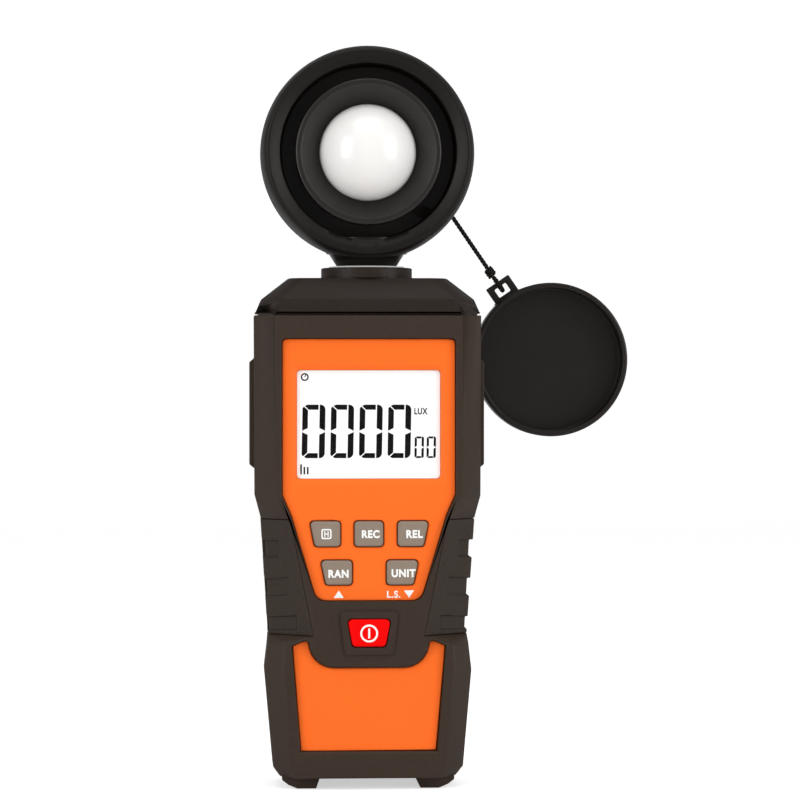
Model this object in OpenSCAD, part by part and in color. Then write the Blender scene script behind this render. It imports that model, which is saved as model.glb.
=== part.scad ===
// Hand-held light meter with a swivelling sensor head and a lens cap on a cord.
// The meter stands upright on its feet, faces -Y, and turns its head about Z.

/* [Case] */
// Width of the case at the seam
case_w = 60.8; // [56:0.1:72]
// Depth of the case from its front frame to its back
case_d = 31; // [29:0.1:38]
// Height of the seam under the top cap
seam_z = 126.2; // [124:0.1:152]
// Height of the top cap above the seam
top_h = 9.9; // [9:0.1:12]
// Width of the case where the grips end at the bottom
waist_w = 53.4; // [51:0.1:56]
// Width of the case just above the feet
base_w = 50.8; // [49:0.1:54]
// Thickness of the case walls
wall = 2.2; // [1.8:0.1:2.6]
// Distance of the parting plane behind the swivel axis
split_y = 4; // [3.5:0.1:5]
// Radius of the rear corners
rear_r = 10; // [8:0.5:11]
// Height of the feet
foot_h = 3.1; // [2:0.1:4]
// Width of the gap between the feet
foot_gap = 27.8; // [24:0.1:30]
// Length of the raised side bars
bar_len = 27.5; // [20:0.5:34]
// How far the side bars stand out
bar_out = 1.2; // [0.6:0.1:1.4]

/* [Grips] */
// Thickness of the rubber grip pads
grip_t = 1.6; // [1.2:0.1:2]
// Depth of the grip notches
notch_depth = 1.1; // [0.6:0.1:1.4]

/* [Panels] */
// Width of the upper panel
panel_w = 46; // [44:0.1:48]
// How far the panels lie below the front frame
panel_sink = 1.3; // [0.8:0.1:1.6]
// Thickness of the panels
panel_t = 1.6; // [1.2:0.1:2]
// Width of the display window
window_w = 38.3; // [34:0.1:40]
// Height of the display window
window_h = 29; // [24:0.1:30]
// Thickness of the display window
window_t = 1; // [0.8:0.1:1.2]

/* [Keys] */
// Height of the upper row of keys
key_h1 = 6.7; // [5.5:0.1:8]
// Height of the lower row of keys
key_h2 = 6.5; // [5.5:0.1:7.8]
// How far the keys stand out of the panel
key_out = 0.8; // [0.6:0.1:1]
// Travel of each key
key_travel = 0.8; // [0.5:0.1:1]
// Gap around each key
key_gap = 0.2; // [0.15:0.05:0.4]

/* [Battery compartment] */
// Diameter of a battery
cell_d = 10.5; // [10:0.1:11]
// Length of a battery with its nub
cell_len = 44.5; // [42:0.1:45.5]
// Number of batteries
cells = 3; // [3:1:3]
// Thickness of the battery door
door_t = 2; // [1.6:0.1:2.4]

/* [Head] */
// Diameter of the sensor head
head_d = 57.4; // [56:0.1:66]
// Height of the head's centre above the top cap
head_up = 33.6; // [33.2:0.1:40]
// Diameter of the collar that the lens cap slips over
ring_d = 39; // [36:0.1:40]
// Diameter of the diffuser dome
dome_d = 25.8; // [23:0.1:27]
// Height of the dome above the bottom of its funnel
dome_h = 10.5; // [9:0.1:12]
// Diameter of the fixed neck collar
collar_d = 24.5; // [22:0.1:25]
// Diameter of the turning neck
neck_d = 21.9; // [19.5:0.1:22.2]
// Diameter of the neck's shaft
shaft_d = 16; // [14:0.1:17]

/* [Lens cap] */
// Outer diameter of the lens cap
cap_d = 42.2; // [41.6:0.1:45]
// Depth of the lens cap
cap_depth = 8; // [7:0.1:10]
// Clearance between the lens cap and its collar
cap_fit = 0.2; // [0.15:0.05:0.4]
// Diameter of the cap's cord
cord_d = 1.3; // [1:0.1:1.6]

/* [Hidden] */

$fn = 96;
eps = 0.01;
fit = 0.1;
slip = 0.05;

// Colours
black = [0.16, 0.14, 0.13];
rubber = [0.22, 0.2, 0.19];
orange = [1, 0.45, 0.16];
grey = [0.45, 0.42, 0.4];
red = [0.85, 0.05, 0.05];
steel = [0.75, 0.76, 0.78];
board_green = [0.08, 0.35, 0.18];
white = [0.95, 0.95, 0.93];

// Case planes and sections: half width, half width of the flat front, start of the side wall
front_y = -case_d / 2;
back_y = case_d / 2;
top_z = seam_z + top_h;
head_z = top_z + head_up;
half_w = case_w / 2;
bevel_w = 5.4;
bevel_d = 7;
knee_z = 78;
grip_top = 72;
grip_bottom = 40.8;
seam_sec = [half_w, half_w - bevel_w, front_y + bevel_d];
knee_sec = [half_w - 0.2, half_w - bevel_w - 0.1, front_y + bevel_d];
grip_top_sec = [half_w - 1.8, half_w - 9, front_y + 7.6];
grip_low_sec = [waist_w / 2, waist_w / 2 - 11.4, front_y + 10];
ledge_sec = [waist_w / 2 + 0.2, waist_w / 2 - 4.2, front_y + bevel_d - 1];
flare_sec = [waist_w / 2 + 1, waist_w / 2 - 3.9, front_y + bevel_d - 1];
base_sec = [base_w / 2, base_w / 2 - 4.9, front_y + 5.5];
sole_sec = [base_w / 2 - 1.9, base_w / 2 - 6.4, front_y + 7];
grip_step = 1.5;
pad_edge = 0.15;
pad_in = 0.6;
edge_drop = 0.03;
grip_end = 9;
grip_a = asin((grip_end + fit - back_y + rear_r) / rear_r);
// Heights of each notch's upper and lower edge, at the side and at its inner end, and where it ends
notch_tops = [[66.4, 66.6], [54.9, 56.8], [44.5, 46.6]];
notch_low = [[60.8, 62.1], [50, 52], [41.6, 42.9]];
notch_in = [23.9, 21.4, 19.2];
cavity_top = [half_w - wall - 0.4, half_w - bevel_w - 1.4, front_y + 8];
cavity_high = [waist_w / 2 - grip_t - wall + 1.6, half_w - 11, front_y + 9];
cavity_mid = [waist_w / 2 - grip_t - wall + 0.6, half_w - 13, front_y + 10.5];
cavity_low = [waist_w / 2 - grip_t - wall - 0.1, waist_w / 2 - 14.2, front_y + 12.5];
flare_z = 31.5;
ledge_z = 38.4;
base_z = 5.8;

// Layers behind the front frame
panel_y = front_y + panel_sink;
panel_back = panel_y + panel_t;
skin_back = panel_back + 1.3;
flange_t = 1;
flange_back = skin_back + fit + flange_t;
switch_top = flange_back + key_travel + 0.2;
board_y = switch_top + 3;
board_t = 1.6;
board_back = board_y + board_t;

// Upper panel, its window and its keys
panel_top = seam_z - 6.4;
panel_knee = knee_z + 0.3;
panel_waist_z = 54.9;
panel_foot = 50.3;
panel_r = 1.1;
panel_toe_r = 3.2;
window_z = panel_top - 8.2 - window_h / 2;
window_rim = 1.3;
window_ledge = 1.2;
key_slant = 1.4;
key_r = 1;
row1_z = 68.05;
row2_z = 57.75;
key_flange = 0.8;
key_face = panel_y - key_out;
hold_x = [-15.7, -7.6];
record_x = [-3.8, 3.8];
relative_x = [7.7, 15.9];
range_x = [-12.8, -4.5];
unit_x = [4.75, 13.2];

// Power key and its rim
power_z = [38.1, 45.5];
power_x = [4.4, 5.83];
power_r = 1.2;
power_rim = 2.05;
rim_out = 0.5;

// Lower panel
low_top = 38.4;
low_bottom = 10.4;
low_w = 36;
low_shoulder = 20.4;
notch_r = 6.8;
notch_c = [9.2, 39.2];

// Battery compartment
cell_pitch = cell_d + 0.4;
cell_y = back_y - door_t - 0.4 - cell_d / 2;
pocket_w = cell_pitch * (cells - 1) + cell_d + 0.9;
contact_t = 0.4;
spring_len = 4;
pocket_z0 = 16.6;
pocket_z1 = pocket_z0 + 2 * contact_t + spring_len + cell_len + 0.1;
tray_w = pocket_w + 6;
tray_y = cell_y - cell_d / 2 - 2;
tray_top = pocket_z1 + 1.5;
door_w = pocket_w + 4;
door_z0 = 10.5;
door_z1 = tray_top + 4.5;
door_gap = 0.25;
door_lip = 1;
hinge_y = back_y - door_t / 2;
hinge_z = door_z1 - door_t / 2;
barrel_r = door_t / 2 - 0.05;
pin_r = 0.6;
pin_out = 1.2;
door_screw_z = 13.6;
door_screw_r = 1.25;
door_hole_r = 1.9;

// Screws that join the case, and those that hold the board
case_screw_z = seam_z - 20.2;
case_screw_at = [[-25, case_screw_z], [25, case_screw_z], [-22.9, 24], [22.9, 24]];
case_screw_r = 1.2;
case_head_r = 2.3;
case_head_y = 9.4;
case_boss_r = 2.6;
board_screw_z = seam_z - 7.6;
board_screw_at = [[-21.6, board_screw_z], [21.6, board_screw_z], [-20.9, 77.2], [20.9, 77.2], [0, 32.8]];
board_screw_r = 1;
board_boss_r = 2.2;
cap_screw_x = 17;
rim_h = 5;
cap_screw_z = seam_z - 2.8;

// Neck and head
collar_z = top_z + 2.9;
washer_t = 0.4;
neck_z = collar_z + washer_t;
neck_top = head_z - head_d / 2 + 6;
bore_r = shaft_d / 2 + slip;
shaft_z = seam_z + 1.6;
ring_groove_z = shaft_z + 1;
ring_t = 0.8;
ring_groove = 0.9;
hub_z = ring_groove_z + ring_t + 0.8;
cable_r = 1.2;
cable_way = 3;
neck_screw_y = 1.2;
head_r = head_d / 2;
head_wall = 2;
rim_y = front_y + 1.5;
rim_r = head_r - 1.7;
head_split = -2;
head_back_y = 11.5;
flat_r = 17.5;
ring_r = ring_d / 2;
channel_r = ring_r + 4;
floor_y = -6;
floor_t = 1.5;
ring_front = rim_y + 0.6;
ring_lip = 1.9;
ring_step = 0.3;
ring_foot_r = ring_r - ring_step;
ring_foot_y = floor_y - 0.2;
dome_r = dome_d / 2;
funnel_y = ring_front + 4.8;
dome_seat = funnel_y + 2.4;
dome_flange = 1.8;
dome_flange_t = 1.4;
dome_ball = (dome_r * dome_r + dome_h * dome_h) / (2 * dome_h);
dome_c = funnel_y - dome_h + dome_ball;
dome_wall = 1.6;
gasket_t = 0.8;
stack_y = floor_y + floor_t;
ring_flange_t = 1.5;
ring_flange_r = ring_r + 2;
holder_y = stack_y + ring_flange_t;
holder_t = 1.6;
holder_back = holder_y + holder_t;
filter_r = 6;
filter_t = 2;
sensor_y = holder_back + 2.9;
sensor_r = ring_r - 1.5;
rib_in = ring_r - 0.2;
head_screw_c = head_r - 4.6;
head_screw_r = 1.1;
sensor_screw_c = ring_r - 4.5;

// Lens cap, its lug, and the post that its cord swings on
post_x = 14.5;
post_z = head_z - 1.7;
post_r = 1.8;
post_len = 5.5;
cord_r = cord_d / 2;
loop_r = post_r + cord_r + 0.15;
cord_y = head_back_y + 4.1;
cap_r = cap_d / 2;
cap_wall = cap_r - ring_r - cap_fit;
cap_x = half_w + 20.8;
cap_z = 114.5;
cap_y = 12;
cap_end = 1.4;
lug_w = 7.4;
lug_t = 2;
lug_out = 4.7;
lug_bar = 1.4;
eye_w = 3.8;
eye_h = 2.6;
swing = atan2(cap_x - post_x, post_z - cap_z);
reach = norm([cap_x - post_x, post_z - cap_z]);
bar_at = reach - cap_r - lug_out + lug_bar / 2;
eye_loop_r = 2.1;
knot_r = 1.5;
knot_at = bar_at - eye_loop_r - cord_r - knot_r + 0.3;
// Stations along the cord, from the post's loop to the knot, as shares of the way
cord_stations = [0, 0.08, 0.16, 0.24, 0.32, 0.4, 0.48, 0.56, 0.64, 0.72, 0.8, 0.88, 0.94, 1];
cord_start = loop_r + cord_r - 0.05;
cord_stop = knot_at - knot_r;

// ---- Helpers ----

function unit(v) = v / norm(v);

// Arc that rounds corner b between a and c
function corner(a, b, c, r, n = 5) =
  let (u = unit(a - b), v = unit(c - b), half = acos(u * v) / 2)
  let (o = b + unit(u + v) * r / sin(half), p = b + u * r / tan(half) - o, q = b + v * r / tan(half) - o)
  let (a0 = atan2(p[1], p[0]), turn = (atan2(q[1], q[0]) - a0 + 540) % 360 - 180)
  [for (i = [0:n]) o + r * [cos(a0 + turn * i / n), sin(a0 + turn * i / n)]];

// Outline p with corner i rounded by r[i]
function rounded(p, r) =
  let (n = len(p))
  [for (i = [0:n - 1]) each r[i] > 0 ? corner(p[(i + n - 1) % n], p[i], p[(i + 1) % n], r[i]) : [p[i]]];

function box_outline(x0, x1, z0, z1) = [[x0, z0], [x1, z0], [x1, z1], [x0, z1]];

function reverse(p) = [for (i = [len(p) - 1:-1:0]) p[i]];

function both(p) = concat(p, [for (i = [len(p) - 1:-1:0]) [-p[i][0], p[i][1]]]);

// Ring of points round the case for section s, inset by t where a grip pad lies on it
function ring(s, t = 0) =
  let (w = s[0], r = rear_r, side = t > 0 ? grip_step : 0, n = 7)
  both(concat(
    [
      [s[1] - pad_in, front_y],
      [s[1] - (t > 0 ? pad_in : 0), front_y + side + edge_drop],
      [w - t, s[2] + side],
      [w - t, t > 0 ? grip_end + fit : back_y - r]
    ],
    [for (i = [0:n]) let (a = grip_a + (90 - grip_a) * i / n) [w - r + r * cos(a), back_y - r + r * sin(a)]]
  ));

// Ring of the right-hand grip pad for section s
function pad_ring(s) =
  let (x0 = s[1] - pad_in + slip, w = s[0], r = rear_r, y1 = grip_end)
  [
    [x0, front_y], [s[1], front_y + edge_drop], [w, s[2]], [w, back_y - r],
    [w - r + r * cos(grip_a / 2), back_y - r + r * sin(grip_a / 2)],
    [w - r + r * cos(grip_a), y1], [w - grip_t + slip, y1],
    [w - grip_t + slip, s[2] + grip_step - slip], [x0, front_y + grip_step - slip]
  ];

// Plate from y0 to y1 with an outline in X and Z
module plate(outline, y0, y1) {
  translate([0, y1, 0]) rotate([90, 0, 0]) linear_extrude(y1 - y0) polygon(outline);
}

// Block between two corners
module block(low, high) {
  translate(low) cube(high - low);
}

// Round piece along Y, from y0 to y1, at [x, z]
module rod(at, r, y0, y1) {
  translate([at[0], y1, at[1]]) rotate([90, 0, 0]) cylinder(r = r, h = y1 - y0);
}

// Turned piece about the head's axis; the outline holds [radius, y]
module turned(outline) {
  translate([0, 0, head_z]) rotate([-90, 0, 0]) rotate_extrude() polygon(outline);
}

// Tube of radius r along points p
module tube(p, r, sides) {
  n = len(p);
  ways = [for (i = [0:n - 1]) unit(p[min(i + 1, n - 1)] - p[max(i - 1, 0)])];
  rings = [for (i = [0:n - 1]) let (
      side = unit(cross(ways[i], abs(ways[i][1]) < 0.9 ? [0, 1, 0] : [1, 0, 0])), up = cross(side, ways[i])
    ) [for (k = [0:sides - 1]) p[i] + r * (cos(360 * k / sides) * side + sin(360 * k / sides) * up)]];
  skin = [for (i = [0:n - 2], k = [0:sides - 1])
    let (a = i * sides + k, b = i * sides + (k + 1) % sides) [a, a + sides, b + sides, b]];
  ends = [[for (k = [0:sides - 1]) k], [for (k = [sides - 1:-1:0]) (n - 1) * sides + k]];
  polyhedron([for (ring = rings, q = ring) q], concat(skin, ends));
}

// Cross recess open towards +Y, with arms of the given length, from y0 outwards
module cross_slot(at, arm, y0) {
  half_slot = 0.25;
  block([at[0] - arm, y0, at[1] - half_slot], [at[0] + arm, y0 + 9, at[1] + half_slot]);
  block([at[0] - half_slot, y0, at[1] - arm], [at[0] + half_slot, y0 + 9, at[1] + arm]);
}

// Pan head screw along Y with its head towards +Y
module screw_y(at, r, head_r, head_y, len, head_h = 1.4) {
  difference() {
    union() {
      rod(at, r, head_y - len, head_y + eps);
      rod(at, head_r, head_y, head_y + head_h);
    }
    cross_slot(at, head_r * 0.6, head_y + head_h * 0.5);
  }
}

// Solid through rings of points, each [height, points]
module loft(levels) {
  n = len(levels[0][1]);
  m = len(levels);
  sides = [for (i = [0:m - 2], k = [0:n - 1])
    let (a = i * n + k, b = i * n + (k + 1) % n) each [[a, a + n, b + n], [a, b + n, b]]];
  ends = [[for (k = [0:n - 1]) k], [for (k = [n - 1:-1:0]) (m - 1) * n + k]];
  polyhedron([for (level = levels, p = level[1]) [p[0], p[1], level[0]]], concat(sides, ends));
}

// ---- Case shapes ----

// Outside of the case up to the seam, without its feet and side bars
module case_shape() {
  loft([
    [foot_h, ring(sole_sec)],
    [base_z, ring(base_sec)],
    [flare_z, ring(flare_sec)],
    [ledge_z, ring(ledge_sec)],
    [grip_bottom, ring(grip_low_sec)],
    [grip_bottom + pad_edge, ring(grip_low_sec, grip_t)],
    [grip_top - pad_edge, ring(grip_top_sec, grip_t)],
    [grip_top, ring(grip_top_sec)],
    [knee_z, ring(knee_sec)],
    [seam_z, ring(seam_sec)]
  ]);
}

module foot(side) {
  outline = [
    [foot_gap / 2, 0], [base_w / 2 - 6.5, 0], [base_w / 2 - 4.1, 1],
    [base_w / 2 - 2.4, 2.3], [base_w / 2 - 2.4, foot_h + 0.4], [foot_gap / 2 - 1.2, foot_h + 0.4]
  ];
  plate([for (p = outline) [side * p[0], p[1]]], front_y + 4.5, back_y - 4.5);
}

module side_bar(side) {
  mid = seam_z - 26.2;
  outline = [
    [half_w - 1, mid - bar_len / 2 - 1], [half_w, mid - bar_len / 2 - 1],
    [half_w + bar_out, mid - bar_len / 2], [half_w + bar_out, mid + bar_len / 2],
    [half_w, mid + bar_len / 2 + 1], [half_w - 1, mid + bar_len / 2 + 1]
  ];
  plate([for (p = outline) [side * p[0], p[1]]], -3, 3);
}

// Inside of the case
module cavity() {
  loft([
    [foot_h + 5, cavity_ring(cavity_low)],
    [46, cavity_ring(cavity_low)],
    [62, cavity_ring(cavity_mid)],
    [grip_top + 2, cavity_ring(cavity_high)],
    [grip_top + 2.2, cavity_ring(cavity_top)],
    [seam_z + 1, cavity_ring(cavity_top)]
  ]);
}

// Ring round the inside of the case, smaller by gap
function cavity_ring(s, gap = 0) =
  let (w = s[0] - gap, r = rear_r - wall, back = back_y - wall - gap, n = 8)
  both(concat(
    [[s[1] - gap / 2, skin_back + gap], [w, s[2] + gap / 2]],
    [for (i = [0:n]) [w - r + r * cos(90 * i / n), back - r + r * sin(90 * i / n)]]
  ));

// ---- Panels and keys ----

function panel_outline(grow = 0) =
  let (w = panel_w / 2 + grow, step = 2.4, waist = 7.7, toe = 9.1)
  rounded(
    both([
      [w - toe, panel_foot - grow], [w - waist, panel_waist_z], [w - step, grip_top + 0.8],
      [w, panel_knee], [w, panel_top + grow]
    ]),
    [panel_toe_r, 0, 0, 0, panel_r, panel_r, 0, 0, 0, panel_toe_r]
  );

function lower_outline(grow = 0) =
  let (w = low_w / 2 + grow, s = low_shoulder + grow, r = notch_r - grow)
  both(concat(
    [[w, low_bottom - grow], [s, low_top], [s - 3.4, low_top + 1.4 + grow]],
    [for (i = [0:6]) notch_c + r * [cos(-85 * i / 6), sin(-85 * i / 6)]]
  ));

function window_outline(grow = 0) =
  let (w = window_w / 2 + grow, h = window_h / 2 + grow)
  rounded(box_outline(-w, w, window_z - h, window_z + h), [1, 1, 1, 1]);

// Key outline between x[0] and x[1]; its outer lower corner runs in by key_slant
function key_outline(x, z, h, left, right, grow = 0) =
  rounded(
    [
      [x[0] - grow + (left ? key_slant : 0), z - h / 2 - grow],
      [x[1] + grow - (right ? key_slant : 0), z - h / 2 - grow],
      [x[1] + grow, z + h / 2 + grow],
      [x[0] - grow, z + h / 2 + grow]
    ],
    [key_r, key_r, key_r, key_r]
  );

function hold_outline(grow = 0) = key_outline(hold_x, row1_z, key_h1, true, false, grow);
function record_outline(grow = 0) = key_outline(record_x, row1_z, key_h1, false, false, grow);
function relative_outline(grow = 0) = key_outline(relative_x, row1_z, key_h1, false, true, grow);
function range_outline(grow = 0) = key_outline(range_x, row2_z, key_h2, true, false, grow);
function unit_outline(grow = 0) = key_outline(unit_x, row2_z, key_h2, false, true, grow);
function power_outline(grow = 0) =
  rounded(
    both([[power_x[0] + grow, power_z[0] - grow], [power_x[1] + grow, power_z[1] + grow]]),
    [power_r, power_r, power_r, power_r]
  );

panel_keys = [hold_outline(key_gap), record_outline(key_gap), relative_outline(key_gap),
  range_outline(key_gap), unit_outline(key_gap)];

module key_body(face, flange, y0) {
  plate(face, y0, flange_back);
  plate(flange, flange_back - flange_t, flange_back);
}

module key_hold() {
  color(grey) key_body(hold_outline(), hold_outline(key_flange), key_face);
}

module key_record() {
  color(grey) key_body(record_outline(), record_outline(key_flange), key_face);
}

module key_relative() {
  color(grey) key_body(relative_outline(), relative_outline(key_flange), key_face);
}

module key_range() {
  color(grey) key_body(range_outline(), range_outline(key_flange), key_face);
}

module key_unit() {
  color(grey) key_body(unit_outline(), unit_outline(key_flange), key_face);
}

module key_power() {
  color(red) key_body(power_outline(), power_outline(key_flange), front_y - rim_out - 0.1);
}

module upper_panel() {
  color(orange) difference() {
    plate(panel_outline(), panel_y, panel_back);
    plate(window_outline(), panel_y - 1, panel_back + 1);
    hull() {
      plate(window_outline(window_rim), panel_y - 0.1, panel_y);
      plate(window_outline(), panel_back - window_t - eps, panel_back - window_t);
    }
    for (k = panel_keys) plate(k, panel_y - 1, panel_back + 1);
  }
}

module lower_panel() {
  color(orange) plate(lower_outline(), panel_y, panel_back);
}

module lcd_window() {
  color([0.85, 0.9, 0.92, 0.35]) plate(window_outline(-fit), panel_back - window_t, panel_back);
}

// ---- Case halves ----

module front_case() {
  color(black) difference() {
    union() {
      difference() {
        union() {
          intersection() {
            union() {
              case_shape();
              foot(-1);
              foot(1);
            }
            block([-90, front_y - 1, -1], [90, split_y, seam_z + 1]);
          }
          side_bar(-1);
          side_bar(1);
          plate(power_outline(power_rim), front_y - rim_out, front_y + 1);
        }
        cavity();
      }
      for (at = board_screw_at) rod(at, board_boss_r, skin_back - eps, board_y);
      for (at = case_screw_at) rod(at, case_boss_r, skin_back - eps, split_y);
    }
    plate(panel_outline(fit), front_y - 1, panel_back);
    plate(lower_outline(fit), front_y - 1, panel_back);
    plate(window_outline(-window_ledge), front_y - 1, skin_back + 1);
    for (k = panel_keys) plate(k, front_y - 1, skin_back + 1);
    plate(power_outline(key_gap), front_y - 2, skin_back + 1);
    for (at = board_screw_at) rod(at, board_screw_r + slip, board_y - 4, board_y + 1);
    for (at = case_screw_at) rod(at, case_screw_r + slip, -7.5, split_y + 1);
  }
}

module rear_case() {
  color(black) difference() {
    union() {
      difference() {
        intersection() {
          union() {
            case_shape();
            foot(-1);
            foot(1);
          }
          block([-90, split_y, -1], [90, 90, seam_z + 1]);
        }
        cavity();
      }
      intersection() {
        for (at = case_screw_at) rod(at, case_head_r + 1.4, split_y, back_y - 1);
        case_shape();
      }
      block([-tray_w / 2, tray_y, door_z0 - 1.5], [tray_w / 2, back_y - door_t - 0.2, tray_top]);
    }
    block([-pocket_w / 2, tray_y + 1.6, pocket_z0], [pocket_w / 2, back_y + 1, pocket_z1]);
    block([-door_w / 2 - door_gap, back_y - door_t, door_z0 - door_gap],
      [door_w / 2 + door_gap, back_y + 1, door_z1 + 2 * fit]);
    block([-door_w / 2 + door_lip, tray_top, tray_top],
      [door_w / 2 - door_lip, back_y + 1, door_z1 + 2 * fit]);
    hinge_pin(pin_r + fit, door_w / 2 + pin_out + fit);
    rod([0, door_screw_z], door_hole_r, back_y - door_t - 5, back_y);
    for (at = case_screw_at) {
      rod(at, case_screw_r + 0.2, split_y - 1, case_head_y + 1);
      rod(at, case_head_r + 0.25, case_head_y, back_y + 1);
    }
    for (side = [-1, 1]) cap_screw_hole(side);
  }
}

module cap_screw_hole(side) {
  translate([side * cap_screw_x, back_y - 1.3, cap_screw_z]) rotate([-90, 0, 0])
    cylinder(r1 = 1.3, r2 = 2.6, h = 1.3 + eps);
  rod([side * cap_screw_x, cap_screw_z], 1.3, back_y - wall - 1, back_y);
}

module grip_pad() {
  difference() {
    loft([
      [grip_bottom + pad_edge + slip, pad_ring(grip_low_sec)],
      [grip_top - pad_edge - slip, pad_ring(grip_top_sec)]
    ]);
    for (i = [0:2]) notch(i);
  }
}

// Slanted recess in the right-hand grip; it comes from the side and ends short of the front
module notch(i) {
  outline = [
    [40, notch_low[i][0] - 0.2], [40, notch_tops[i][0] - 0.4],
    [notch_in[i], notch_tops[i][1] - 0.4], [notch_in[i], notch_low[i][1] - 0.4]
  ];
  difference() {
    plate(outline, front_y - 1, grip_end - 3);
    loft([[grip_bottom - 9, notch_ring(grip_low_sec)], [grip_top, notch_ring(grip_top_sec)]]);
  }
}

// What stays under the notches of the right-hand grip
function notch_ring(s) = [
  [0, front_y + notch_depth], [s[1], front_y + notch_depth], [s[0] - notch_depth, s[2] + notch_depth / 2],
  [s[0] - notch_depth, 20], [0, 20]
];

module grip_left() { color(rubber) mirror([1, 0, 0]) grip_pad(); }
module grip_right() { color(rubber) grip_pad(); }

module top_cap() {
  low = [half_w - 0.3, half_w - bevel_w, front_y + bevel_d];
  mid = [half_w - 1.9, half_w - bevel_w - 1.5, front_y + bevel_d + 1];
  groove = 0.5;
  color(black) difference() {
    union() {
      hull() {
        layer(ring(low), seam_z + groove, eps);
        layer(ring(mid), seam_z + 4.3, eps);
        layer(top_section(21.9, 12), top_z - 0.7 - eps, eps);
        layer(top_section(21.2, 11.4), top_z - eps, eps);
      }
      layer(top_section(half_w - 1.2, case_d / 2 - 0.8), seam_z, groove + eps);
      layer(cavity_ring(cavity_top, 0.15), seam_z - rim_h, rim_h + eps);
      translate([0, 0, top_z - eps]) cylinder(d = collar_d, h = collar_z - top_z + eps);
    }
    difference() {
      layer(cavity_ring(cavity_top, 2.4), seam_z - rim_h - 1, rim_h + 3.5);
      for (side = [-1, 1])
        block([side * cap_screw_x - 3, back_y - wall - 7.5, seam_z - rim_h - 2],
          [side * cap_screw_x + 3, back_y, seam_z + 3]);
    }
    translate([0, 0, seam_z - 1]) cylinder(r = bore_r, h = 30);
    translate([0, 0, seam_z - 1]) cylinder(r = bore_r + 3.4, h = hub_z - seam_z + 1);
    for (side = [-1, 1])
      rod([side * cap_screw_x, cap_screw_z], 1.05, back_y - wall - 7, back_y);
  }
}

// Flat layer of height h on top of z with an outline in plan
module layer(outline, z, h) {
  translate([0, 0, z]) linear_extrude(h) polygon(outline);
}

// Rounded rectangle in plan
function top_section(w, d, r = 5) =
  rounded([[-w, -d], [w, -d], [w, d], [-w, d]], [r, r, r, r]);

// ---- Display, board and battery parts ----

// Rectangle in X and Z that passes the window by side, low and high
function behind_window(side, low, high) =
  let (w = window_w / 2 + side, h = window_h / 2)
  box_outline(-w, w, window_z - h - low, window_z + h + high);

module lcd_glass() {
  color([0.8, 0.83, 0.8]) plate(behind_window(2, 1.6, 2.4), skin_back + fit, skin_back + 1.9);
}

module lcd_reflector() {
  color(white) plate(behind_window(0.9, -2.4, 1.2), skin_back + 1.9, skin_back + 2.5);
}

module lcd_holder() {
  color([0.3, 0.3, 0.3]) difference() {
    plate(behind_window(2.6, 1.9, 3.2), skin_back + 1, board_y);
    plate(behind_window(2.1, 1.7, 2.5), skin_back, skin_back + 1.9);
    plate(behind_window(1, -2.3, 1.3), skin_back, board_y - 1);
    plate(strip_outline(0.2), skin_back, board_y + 1);
  }
}

function strip_outline(grow) =
  let (w = window_w / 2 + 0.5 + grow, foot = window_z - window_h / 2)
  box_outline(-w, w, foot - 0.4 - grow, foot + 1.2 + grow);

module contact_strip() {
  color([0.2, 0.2, 0.25]) plate(strip_outline(0), skin_back + 1.9, board_y);
}

module main_board() {
  outline = [[-24.2, seam_z - 5.6], [-24.2, 75], [-17, 71], [-17, 50], [-11, 44], [-11, 29.6],
    [11, 29.6], [11, 44], [17, 50], [17, 71], [24.2, 75], [24.2, seam_z - 5.6]];
  color(board_green) difference() {
    plate(outline, board_y, board_back);
    for (at = board_screw_at) rod(at, board_screw_r + 0.2, board_y - 1, board_back + 1);
    for (at = case_screw_at) rod(at, case_boss_r + 0.3, board_y - 1, board_back + 1);
  }
}

module chip(x, z, w, h, t) {
  block([x - w / 2, board_back, z - h / 2], [x + w / 2, board_back + t, z + h / 2]);
}

module board_chips() {
  color([0.12, 0.12, 0.13]) {
    chip(0, 96, 14, 14, 1.4);
    chip(-14, 112, 5, 6.2, 1.7);
    chip(13, 84, 6.2, 8, 1.7);
    chip(-13.5, 84, 6.2, 4, 1.2);
    chip(14, 100, 3.2, 8, 2.6);
    chip(-15, 98, 3.2, 2.6, 2.2);
  }
}

function middle(x) = (x[0] + x[1]) / 2;
switch_at = [
  [middle(hold_x), row1_z], [middle(record_x), row1_z], [middle(relative_x), row1_z],
  [middle(range_x), row2_z], [middle(unit_x), row2_z], [0, (power_z[0] + power_z[1]) / 2]
];

module key_switches() {
  color([0.2, 0.2, 0.2]) for (at = switch_at) {
    block([at[0] - 2.6, board_y - 2, at[1] - 2.6], [at[0] + 2.6, board_y, at[1] + 2.6]);
    rod(at, 1.6, switch_top, board_y - 2 + eps);
  }
}

module cable_plug() {
  color(white) difference() {
    block([-3.6, board_back, 109], [3.6, 2.4, 114.5]);
    translate([0, 0, 112]) cylinder(r = cable_r + fit, h = 5);
  }
}

module batteries() {
  color([0.35, 0.37, 0.4]) for (i = [0:cells - 1]) {
    z = i % 2 == 0 ? pocket_z0 + contact_t + spring_len + 0.05 : pocket_z0 + contact_t + 0.05;
    translate([cell_x(i), cell_y, i % 2 == 0 ? z : z + cell_len]) mirror([0, 0, i % 2]) {
      cylinder(d = cell_d, h = cell_len - 1);
      cylinder(d = 3.8, h = cell_len);
    }
  }
}

function cell_x(i) = (i - (cells - 1) / 2) * cell_pitch;

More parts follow.
